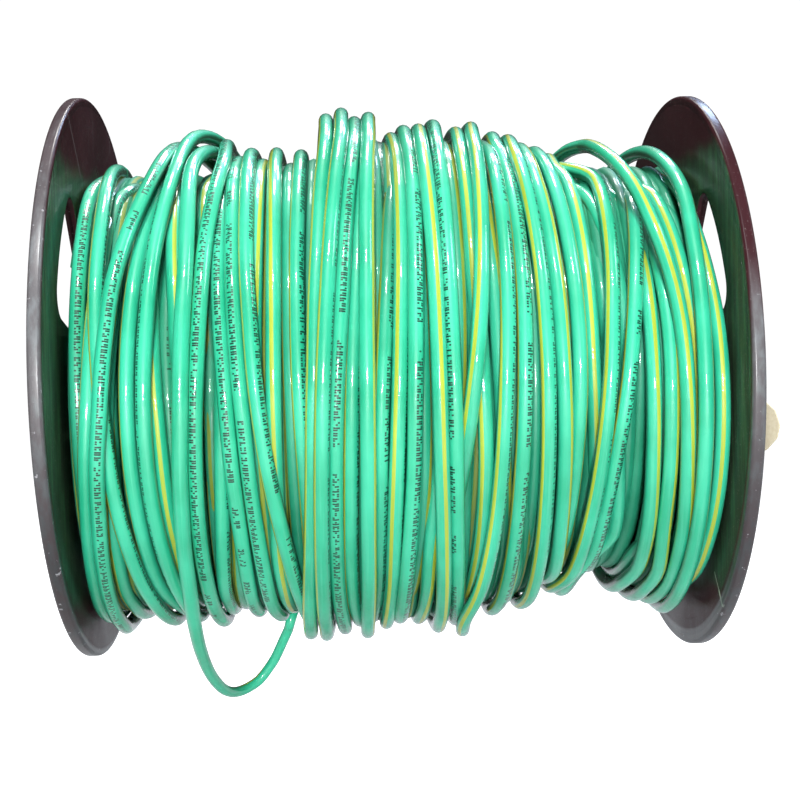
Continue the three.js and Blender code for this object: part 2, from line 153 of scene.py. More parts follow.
def wire_material(name, marks=True, shade_and_matte=0.0):
    T = Tree(name)
    uv = T.n("ShaderNodeUVMap", uv_map="along").outputs[0]
    sep = T.n("ShaderNodeSeparateXYZ")
    T.put(sep.inputs[0], uv)
    u, v = sep.outputs[0], sep.outputs[1]
    # the stripe sits where v is a whole number
    dv = T.math("ABSOLUTE", T.math("SUBTRACT", T.math("FRACT", T.math("ADD", v, 0.5)), 0.5))
    wob = T.noise(T.scaled(uv, (0.06, 0.0, 0.0)), 1.0, 2.0)
    half = T.math("ADD", 0.034, T.math("MULTIPLY", wob, 0.014))
    stripe = T.math("SUBTRACT", 1.0, T.step(T.math("SUBTRACT", dv, half), -0.004, 0.004))
    o = T.obj()
    big = T.noise(o, 38.0, 3.0)
    fine = T.noise(o, 900.0, 4.0, 0.6)
    streak = T.noise(T.scaled(uv, (0.035, 9.0, 0.0)), 1.0, 3.0)
    g = T.mix(T.step(big, 0.3, 0.7), GREEN_DARK, GREEN)
    g = T.mix(T.math("MULTIPLY", T.step(streak, 0.45, 0.75), 0.28), g, rgb(108, 224, 186))
    g = T.mix(T.math("MULTIPLY", T.step(fine, 0.60, 0.78), 0.10), g, rgb(10, 120, 84))
    ye = T.mix(T.step(streak, 0.35, 0.7), rgb(168, 190, 54), YELLOW)
    col = T.mix(stripe, g, ye)
    if marks:
        uv2 = T.n("ShaderNodeUVMap", uv_map="print").outputs[0]
        s2 = T.n("ShaderNodeSeparateXYZ")
        T.put(s2.inputs[0], uv2)
        pu, pv = s2.outputs[0], s2.outputs[1]
        # a generic block code: each cell is a 2 x 3 grid with some blocks left out
        cell = T.math("DIVIDE", pu, 1.32)
        idx = T.math("FLOOR", cell)
        f = T.math("FRACT", cell)
        pvs = T.math("SUBTRACT", T.math("FRACT", T.math("ADD", pv, 0.5)), 0.5)
        across = T.math("DIVIDE", T.math("ADD", pvs, 0.066), 0.044)
        row = T.math("FLOOR", across)
        colm = T.math("FLOOR", T.math("DIVIDE", f, 0.40))
        code = T.n("ShaderNodeTexWhiteNoise", noise_dimensions="3D")
        cv = T.n("ShaderNodeCombineXYZ")
        T.put(cv.inputs[0], idx)
        T.put(cv.inputs[1], row)
        T.put(cv.inputs[2], colm)
        T.put(code.inputs["Vector"], cv.outputs[0])
        lit = T.math("LESS_THAN", code.outputs[0], 0.66)
        within = T.math("MULTIPLY", T.math("GREATER_THAN", pvs, -0.066), T.math("LESS_THAN", pvs, 0.066))
        fc = T.math("FRACT", T.math("DIVIDE", f, 0.40))
        bar = T.math("MULTIPLY", T.math("LESS_THAN", f, 0.78), T.math("LESS_THAN", fc, 0.80))
        inside = T.math("MULTIPLY", within, lit)
        group = T.n("ShaderNodeTexWhiteNoise", noise_dimensions="1D")
        T.put(group.inputs["W"], T.math("FLOOR", T.math("DIVIDE", pu, 6.6)))
        word = T.math("GREATER_THAN", group.outputs[0], 0.10)
        on = T.math("GREATER_THAN", pu, -400.0)
        ink = T.math("MULTIPLY", T.math("MULTIPLY", bar, inside), T.math("MULTIPLY", word, on))
        worn = T.math("SUBTRACT", 1.0, T.math("MULTIPLY", T.step(fine, 0.6, 0.8), 0.35))
        col = T.mix(T.math("MULTIPLY", T.math("MULTIPLY", ink, worn), 0.93), col, INK)
    # painted shade: this factor mixes the jacket toward dark green to deepen the gaps between packed turns; the same
    # factor also makes the jacket rougher and less coated
    if shade_and_matte:
        col = T.mix(shade_and_matte, col, rgb(8, 74, 48))
    # painted shade: jacket turned away from the outside of the pack, and turns tucked under others, are darkened toward
    # deep green, standing in for the shade in the gaps between turns
    geo = T.n("ShaderNodeNewGeometry")
    sn, so = T.n("ShaderNodeSeparateXYZ"), T.n("ShaderNodeSeparateXYZ")
    T.put(sn.inputs[0], geo.outputs["Normal"])
    T.put(so.inputs[0], geo.outputs["Position"])
    rr = T.math("SQRT", T.math("ADD", T.math("MULTIPLY", so.outputs[1], so.outputs[1]), T.math("MULTIPLY", so.outputs[2], so.outputs[2])))
    outward = T.math("DIVIDE", T.math("ADD", T.math("MULTIPLY", sn.outputs[1], so.outputs[1]), T.math("MULTIPLY", sn.outputs[2], so.outputs[2])), T.math("MAXIMUM", rr, 0.001))
    if marks:
        deep_at = T.n("ShaderNodeAttribute", attribute_name="depth").outputs["Fac"]
        turned = T.math("SUBTRACT", 1.0, T.step(outward, -0.10, 0.60))
        shade = T.math("MAXIMUM", T.math("MULTIPLY", turned, 0.90), T.math("MULTIPLY", deep_at, 0.75))
        inpack = T.math("GREATER_THAN", deep_at, -0.5)
        col = T.mix(T.math("MULTIPLY", shade, inpack), col, rgb(0, 58, 26))
    T.set(Base_Color=col, IOR=1.53)
    T.put(T.bsdf.inputs["Roughness"], T.math("ADD", 0.44 + 0.2 * shade_and_matte, T.math("MULTIPLY", T.step(fine, 0.4, 0.8), 0.12)))
    T.put(T.bsdf.inputs["Coat Weight"], 0.25 if shade_and_matte > 0.3 else 1.0)
    T.put(T.bsdf.inputs["Coat Roughness"], T.math("ADD", 0.02, T.math("MULTIPLY", T.step(big, 0.35, 0.8), 0.06)))
    T.put(T.bsdf.inputs["Coat IOR"], 1.5)
    dents = T.math("ADD", T.noise(T.scaled(uv, (0.22, 2.0, 0.0)), 1.0, 2.0), T.math("MULTIPLY", fine, 0.06))
    crinkle = T.math("ADD", dents, T.math("MULTIPLY", T.noise(T.scaled(uv, (0.62, 3.5, 0.0)), 1.0, 2.0), 0.55))
    T.put(T.bsdf.inputs["Normal"], T.bump(dents, 0.35, 0.00022))
    T.put(T.bsdf.inputs["Coat Normal"], T.bump(crinkle, 0.42, 0.00022))
    return T.mat


def reel_material(name, kind="flange"):
    T = Tree(name)
    o = T.obj()
    sep = T.n("ShaderNodeSeparateXYZ")
    T.put(sep.inputs[0], o)
    x, y, z = sep.outputs
    r = T.math("SQRT", T.math("ADD", T.math("MULTIPLY", y, y), T.math("MULTIPLY", z, z)))
    ang = T.math("ARCTAN2", z, y)
    comb = T.n("ShaderNodeCombineXYZ")
    T.put(comb.inputs[0], T.math("MULTIPLY", r, 1000.0))
    T.put(comb.inputs[1], T.math("MULTIPLY", ang, 3.0))
    T.put(comb.inputs[2], T.math("MULTIPLY", x, 1000.0))
    polar = comb.outputs[0]
    cloud = T.noise(o, 26.0, 4.0, 0.6)
    grain = T.noise(o, 1500.0, 3.0, 0.6)
    base = T.mix(T.step(cloud, 0.35, 0.7), rgb(52, 23, 28), rgb(66, 34, 39))
    # turned swirl left by handling: fine rings, broken up
    rings = T.noise(T.scaled(polar, (1.5, 0.35, 0.25)), 1.0, 3.0, 0.65)
    ringmask = T.math("MULTIPLY", T.step(rings, 0.60, 0.72), T.step(cloud, 0.42, 0.62))
    # straight scuffs in a few directions
    scuffs = None
    for s, seed in (((14.0, 900.0, 60.0), 0.0), ((900.0, 22.0, 46.0), 3.0), ((500.0, 380.0, 9.0), 7.0)):
        m = T.n("ShaderNodeMapping")
        T.put(m.inputs["Vector"], o)
        m.inputs["Rotation"].default_value = (0.5 + seed, 0.25 * seed, 0.3 + seed)
        m.inputs["Scale"].default_value = s
        k = T.step(T.noise(m.outputs[0], 1.0, 2.0, 0.5), 0.715, 0.76)
        scuffs = k if scuffs is None else T.math("MAXIMUM", scuffs, k)
    scuffs = T.math("MULTIPLY", scuffs, T.step(cloud, 0.40, 0.60))
    nick = T.step(T.noise(o, 520.0, 3.0, 0.6), 0.66, 0.72)
    # painted reflection: inside the flanges, in a band about the middle height, the colour is mixed toward a streaky
    # green that stands in for the reflection of the wound wire
    wavy = T.math("MULTIPLY", T.math("SUBTRACT", cloud, 0.5), 0.022)
    reflection_band = T.math("SUBTRACT", 1.0, T.step(T.math("ADD", T.math("ABSOLUTE", T.math("ADD", z, 0.003)), wavy), 0.056, 0.063))
    reflection_streaks = T.noise(T.scaled(o, (60.0, 620.0, 42.0)), 1.0, 3.0, 0.6)
    painted_green_reflection = T.mix(T.step(reflection_streaks, 0.40, 0.70), rgb(38, 60, 45), rgb(56, 100, 68))
    rimless = T.math("SUBTRACT", 1.0, T.step(r, 0.0800, 0.0812))
    inner = T.math("LESS_THAN", T.math("ABSOLUTE", x), (HALF + 0.25) * MM)
    base = T.mix(T.math("MULTIPLY", T.math("MULTIPLY", reflection_band, rimless), T.math("MULTIPLY", inner, 0.80)), base, painted_green_reflection)
    dust = T.step(T.noise(o, 1700.0, 2.0, 0.5), 0.66, 0.72)
    base = T.mix(T.math("MULTIPLY", dust, 0.35), base, rgb(150, 140, 138))

    def line(y0, z0, y1, z1, w, side):
        """A straight scratch on one of the two inner faces."""
        ly, lz = (y1 - y0), (z1 - z0)
        n2 = ly * ly + lz * lz
        ty = T.math("SUBTRACT", y, y0)
        tz = T.math("SUBTRACT", z, z0)
        t = T.math("DIVIDE", T.math("ADD", T.math("MULTIPLY", ty, ly), T.math("MULTIPLY", tz, lz)), n2, clamp=True)
        dy = T.math("SUBTRACT", ty, T.math("MULTIPLY", t, ly))
        dz = T.math("SUBTRACT", tz, T.math("MULTIPLY", t, lz))
        d = T.math("SQRT", T.math("ADD", T.math("MULTIPLY", dy, dy), T.math("MULTIPLY", dz, dz)))
        d = T.math("ADD", d, T.math("MULTIPLY", T.math("SUBTRACT", grain, 0.5), w * 0.8))
        on_side = T.math("MULTIPLY", T.math("GREATER_THAN", T.math("MULTIPLY", x, side), 0.0), inner)
        return T.math("MULTIPLY", T.math("SUBTRACT", 1.0, T.step(d, w * 0.5, w)), on_side)
    if kind == "flange":
        white = T.math("MAXIMUM", T.math("MAXIMUM", line(-0.0443, -0.0588, -0.0485, -0.0633, 0.00022, 1), line(-0.0485, -0.0633, -0.0512, -0.0668, 0.0005, 1)),
                       line(-0.0512, -0.0668, -0.0612, -0.0665, 0.0005, 1))
        base = T.mix(T.math("MULTIPLY", white, 0.85), base, rgb(196, 206, 186))
        faint = line(-0.0395, 0.0705, -0.0240, 0.0560, 0.0006, -1)
        base = T.mix(T.math("MULTIPLY", faint, 0.40), base, rgb(120, 108, 110))
    # the rim band is the most handled part: it is worn to a lighter grey in bands, with nicks; the grey is also a
    # painted sheen, lighter at the top and darker at the bottom as painted light and shade
    nick = T.step(T.noise(o, 520.0, 3.0, 0.6), 0.66, 0.72)
    rim = T.step(r, 0.0812, 0.0823)
    base = T.mix(T.math("MULTIPLY", ringmask, 0.22), base, rgb(78, 74, 78))
    base = T.mix(T.math("MULTIPLY", scuffs, 0.45), base, rgb(120, 116, 118))
    band = T.noise(T.scaled(polar, (0.02, 5.0, 0.5)), 1.0, 3.0, 0.6)
    # painted light and shade: the rim grey runs from dark at the bottom to light at the top
    base = T.mix(T.math("MULTIPLY", rim, T.math("ADD", 0.55, T.math("MULTIPLY", T.step(band, 0.4, 0.7), 0.40))), base, T.mix(T.step(z, -0.050, 0.015), rgb(58, 61, 64), rgb(120, 124, 127)))
    base = T.mix(T.math("MULTIPLY", T.math("MULTIPLY", rim, nick), 0.75), base, rgb(178, 178, 184))
    T.set(Base_Color=base, IOR=1.5)
    rough = T.math("ADD", 0.27, T.math("MULTIPLY", T.step(cloud, 0.3, 0.75), 0.16))
    rough = T.math("ADD", rough, T.math("MULTIPLY", ringmask, 0.12))
    rough = T.math("ADD", rough, T.math("MULTIPLY", rim, 0.06))
    T.put(T.bsdf.inputs["Roughness"], rough)
    T.put(T.bsdf.inputs["Coat Weight"], T.math("MULTIPLY", rim, 0.35))
    T.put(T.bsdf.inputs["Coat Roughness"], 0.22)
    T.put(T.bsdf.inputs["Specular IOR Level"], T.math("ADD", 0.12, T.math("MULTIPLY", rim, 0.35)))
    h = T.math("ADD", T.math("MULTIPLY", grain, 0.25), T.math("MULTIPLY", T.noise(o, 60.0, 2.0), 1.6))
    h = T.math("SUBTRACT", h, T.math("MULTIPLY", scuffs, 0.5))
    h = T.math("SUBTRACT", h, T.math("MULTIPLY", T.math("MULTIPLY", rim, nick), 0.8))
    T.put(T.bsdf.inputs["Normal"], T.bump(h, 0.4, 0.00025))
    return T.mat


def copper_material():
    T = Tree("copper_drawn")
    o = T.obj()
    n1 = T.noise(o, 120.0, 3.0)
    n2 = T.noise(T.scaled(o, (40.0, 2200.0, 2200.0)), 1.0, 2.0)
    col = T.mix(T.step(n1, 0.35, 0.7), rgb(214, 124, 78), rgb(236, 158, 112))
    col = T.mix(T.math("MULTIPLY", T.step(n1, 0.62, 0.8), 0.5), col, rgb(128, 70, 44))
    T.set(Base_Color=col, Metallic=1.0)
    T.put(T.bsdf.inputs["Roughness"], T.math("ADD", 0.2, T.math("MULTIPLY", n2, 0.2)))
    T.put(T.bsdf.inputs["Normal"], T.bump(n2, 0.25, 0.00005))
    return T.mat


def paper_material(name, back=False):
    T = Tree(name)
    o = T.obj()
    fibre = T.noise(o, 900.0, 5.0, 0.65)
    stain = T.noise(o, 45.0, 3.0)
    col = T.mix(T.step(fibre, 0.35, 0.7), rgb(226, 219, 192), rgb(243, 238, 216))
    col = T.mix(T.math("MULTIPLY", T.step(stain, 0.52, 0.72), 0.35), col, rgb(198, 178, 134))
    if back:
        col = T.mix(0.3, col, rgb(214, 196, 150))
    T.set(Base_Color=col)
    T.put(T.bsdf.inputs["Roughness"], 0.78)
    T.put(T.bsdf.inputs["Normal"], T.bump(T.math("ADD", fibre, T.math("MULTIPLY", stain, 2.0)), 0.35, 0.0001))
    return T.mat


MAT_WIRE = wire_material("green_jacket_striped")
# the packed inner turns get strong painted shade, the tail insulation only a little
MAT_DEEP = wire_material("green_jacket_inner", marks=False, shade_and_matte=0.55)
MAT_PVC = wire_material("green_insulation", marks=False, shade_and_matte=0.10)
MAT_REEL = reel_material("black_reel_plastic")
MAT_CORE = reel_material("black_core_tube", kind="tube")
MAT_COPPER = copper_material()
MAT_PAPER = paper_material("cream_paper")
MAT_PAPER_B = paper_material("cream_paper_flap", back=True)


# ------------------------------------------------------------------ mesh helpers
def new_object(name, mesh, body, material):
    ob = bpy.data.objects.new(name, mesh)
    bpy.context.scene.collection.objects.link(ob)
    mesh.materials.append(material)
    if body:
        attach(ob, body)
    return ob


class Tubes:
    """Collects round wires in one mesh, with lengthwise and print UV maps."""

    def __init__(self, sides):
        self.n = sides
        self.v, self.f, self.uv, self.uv2, self.d = [], [], [], [], []
        self.count = 0

    def add(self, path, radial, radius=WIRE_R, stripe=0.0, prnt=None, u0=0.0, caps=True, taper=None, depth=-1.0):
        """path: points; radial: the direction taken as stripe angle 0 at each point.
        stripe and prnt: degrees, a number or one per point; prnt nan where there is no print."""
        path = np.asarray(path, float)
        m, n = len(path), self.n
        tan = np.gradient(path, axis=0)
        tan /= np.linalg.norm(tan, axis=1)[:, None]
        rad = radial - (radial * tan).sum(1)[:, None] * tan
        rad /= np.linalg.norm(rad, axis=1)[:, None]
        side = np.cross(tan, rad)
        flip = np.sign(side[:, 0].mean()) or 1.0
        side = side * flip
        u = u0 + np.concatenate([[0], np.cumsum(np.linalg.norm(np.diff(path, axis=0), axis=1))])
        stripe = np.broadcast_to(np.asarray(stripe, float), (m,))
        pr = np.full(m, np.nan) if prnt is None else np.broadcast_to(np.asarray(prnt, float), (m,))
        th = np.arange(n) / n * 2 * np.pi
        rr = np.full(m, radius) if taper is None else radius * np.asarray(taper)
        ring = (path[:, None, :] + rr[:, None, None] * (np.cos(th)[None, :, None] * rad[:, None, :] + np.sin(th)[None, :, None] * side[:, None, :]))
        base = self.count
        self.v.append(ring.reshape(-1, 3))
        self.d.append(np.repeat(np.broadcast_to(np.asarray(depth, float), (m,)), n))
        self.count += m * n
        i = np.arange(m - 1)[:, None]
        j = np.arange(n)[None, :]
        j2 = (j + 1) % n
        a, b, c, d = i * n + j, i * n + j2, (i + 1) * n + j2, (i + 1) * n + j
        quads = np.stack([a, b, c, d], -1) if flip > 0 else np.stack([a, d, c, b], -1)
        self.f.append(quads.reshape(-1, 4) + base)
        va, vb = j / n + 0 * i, (j + 1) / n + 0 * i
        s0, s1 = stripe[:-1, None] / 360, stripe[1:, None] / 360
        ua, ub = u[:-1, None] + 0 * j, u[1:, None] + 0 * j
        q = [(ua, va - s0), (ua, vb - s0), (ub, vb - s1), (ub, va - s1)]
        on = ~np.isnan(pr)
        p0, p1 = np.nan_to_num(pr[:-1, None]) / 360, np.nan_to_num(pr[1:, None]) / 360
        ok = (on[:-1] & on[1:])[:, None] & (j >= 0)
        q2 = [(np.where(ok, ua, -900.0), va - p0), (np.where(ok, ua, -900.0), vb - p0), (np.where(ok, ub, -900.0), vb - p1), (np.where(ok, ub, -900.0), va - p1)]
        order = (0, 1, 2, 3) if flip > 0 else (0, 3, 2, 1)
        self.uv.append(np.stack([np.stack(q[k], -1) for k in order], 2).reshape(-1, 2))
        self.uv2.append(np.stack([np.stack(q2[k], -1) for k in order], 2).reshape(-1, 2))
        if caps:
            for ring_i, rev in ((0, flip > 0), (m - 1, flip < 0)):
                idx = list(base + ring_i * n + np.arange(n))
                if rev:
                    idx = idx[::-1]
                self.f.append(np.array([idx]))
                self.uv.append(np.tile([[u[ring_i], 0.5]], (n, 1)))
                self.uv2.append(np.tile([[-900.0, 0.5]], (n, 1)))
        return u[-1]

    def build(self, name, body, material):
        v = np.concatenate(self.v) * MM
        faces = []
        for f in self.f:
            faces.extend(f.tolist())
        me = bpy.data.meshes.new(name)
        me.from_pydata(v.tolist(), [], faces)
        for key, data in (("along", self.uv), ("print", self.uv2)):
            layer = me.uv_layers.new(name=key)
            layer.data.foreach_set("uv", np.concatenate(data).astype(np.float32).ravel())
        # the depth attribute drives the painted shade of sunk turns
        at = me.attributes.new("depth", "FLOAT", "POINT")
        at.data.foreach_set("value", np.concatenate(self.d).astype(np.float32))
        me.polygons.foreach_set("use_smooth", np.ones(len(me.polygons), bool))
        me.update()
        return new_object(name, me, body, material)


def catmull(ts, vals, q):
    """Cubic through (ts, vals), ts increasing, tangents by finite difference. Rows of vals may be vectors."""
    ts = np.asarray(ts, float)
    vals = np.asarray(vals, float)
    one = vals.ndim == 1
    if one:
        vals = vals[:, None]
    h = np.diff(ts)
    s = np.diff(vals, axis=0) / h[:, None]
    m = np.zeros_like(vals)
    m[1:-1] = (s[:-1] * h[1:, None] + s[1:] * h[:-1, None]) / (h[1:] + h[:-1])[:, None]
    m[0], m[-1] = s[0], s[-1]
    q = np.clip(q, ts[0], ts[-1])
    k = np.clip(np.searchsorted(ts, q, side="right") - 1, 0, len(ts) - 2)
    t = ((q - ts[k]) / h[k])[:, None]
    hk = h[k][:, None]
    out = (2 * t**3 - 3 * t**2 + 1) * vals[k] + (t**3 - 2 * t**2 + t) * hk * m[k] + (-2 * t**3 + 3 * t**2) * vals[k + 1] + (t**3 - t**2) * hk * m[k + 1]
    return out[:, 0] if one else out


def space_curve(points, step):
    """Resampled smooth curve through points, in mm."""
    p = np.asarray(points, float)
    d = np.concatenate([[0], np.cumsum(np.sqrt(np.linalg.norm(np.diff(p, axis=0), axis=1)))])
    fine = catmull(d, p, np.linspace(0, d[-1], 60 * len(p)))
    L = np.concatenate([[0], np.cumsum(np.linalg.norm(np.diff(fine, axis=0), axis=1))])
    n = max(int(L[-1] / step), 2)
    q = np.linspace(0, L[-1], n + 1)
    return np.stack([np.interp(q, L, fine[:, k]) for k in range(3)], 1)


# ------------------------------------------------------------------ the turns that show
# Each turn: rows of (angle, X) read on a reference skin, level (0 rests in the outer skin,
# +1 rides over it, -1 is tucked under), stripe angle and print angle (None: no print).
# Levels and angles may be one number or rows of (angle, value).
REF_X = [-90, -84.5, -50, -27, -12, 25, 46, 84.5, 90]
REF_T = [62, 62.3, 65.0, 66.5, 71.5, 70.5, 64.2, 63.6, 63]
REF_B = [75.6, 75.6, 76.5, 77.5, 78.0, 77.5, 73.2, 76.0, 76]
SKIN_X_T = [-86, -79, -70, -60, -43, -27, -21, -16, -11, -4.5, 2, 9.5, 14, 24, 30, 35, 41, 47.6, 53, 60, 68, 74, 79, 86]
SKIN_T = [61.5, 61.3, 62.2, 63.6, 65.8, 66.5, 69.5, 75.3, 74.6, 74.3, 73.2, 72.2, 73.0, 71.8, 70.0, 68.0, 65.8, 64.3, 61.0, 59.6, 59.6, 60.4, 61.3, 61.3]
SKIN_X_B = [-86, -79, -60, -46, -35, -25, -16, -9, 7, 17, 22, 28, 32, 37, 41, 45, 50, 56, 61, 65, 70, 80, 86]
SKIN_B = [75.0, 74.8, 75.2, 75.6, 77.2, 79.3, 80.2, 80.2, 79.8, 80.6, 78.5, 75.8, 74.8, 74.3, 73.2, 70.6, 68.4, 67.2, 66.6, 69.5, 72.6, 75.6, 75.8]


def ref_skin(x, deg):
    t, b = np.interp(x, REF_X, REF_T), np.interp(x, REF_X, REF_B)
    return (t + b) / 2 + (t - b) / 2 * np.sin(np.radians(deg)) - 1.2


def skin(x, deg):
    t, b = np.interp(x, SKIN_X_T, SKIN_T), np.interp(x, SKIN_X_B, SKIN_B)
    return (t + b) / 2 + (t - b) / 2 * np.sin(np.radians(deg))


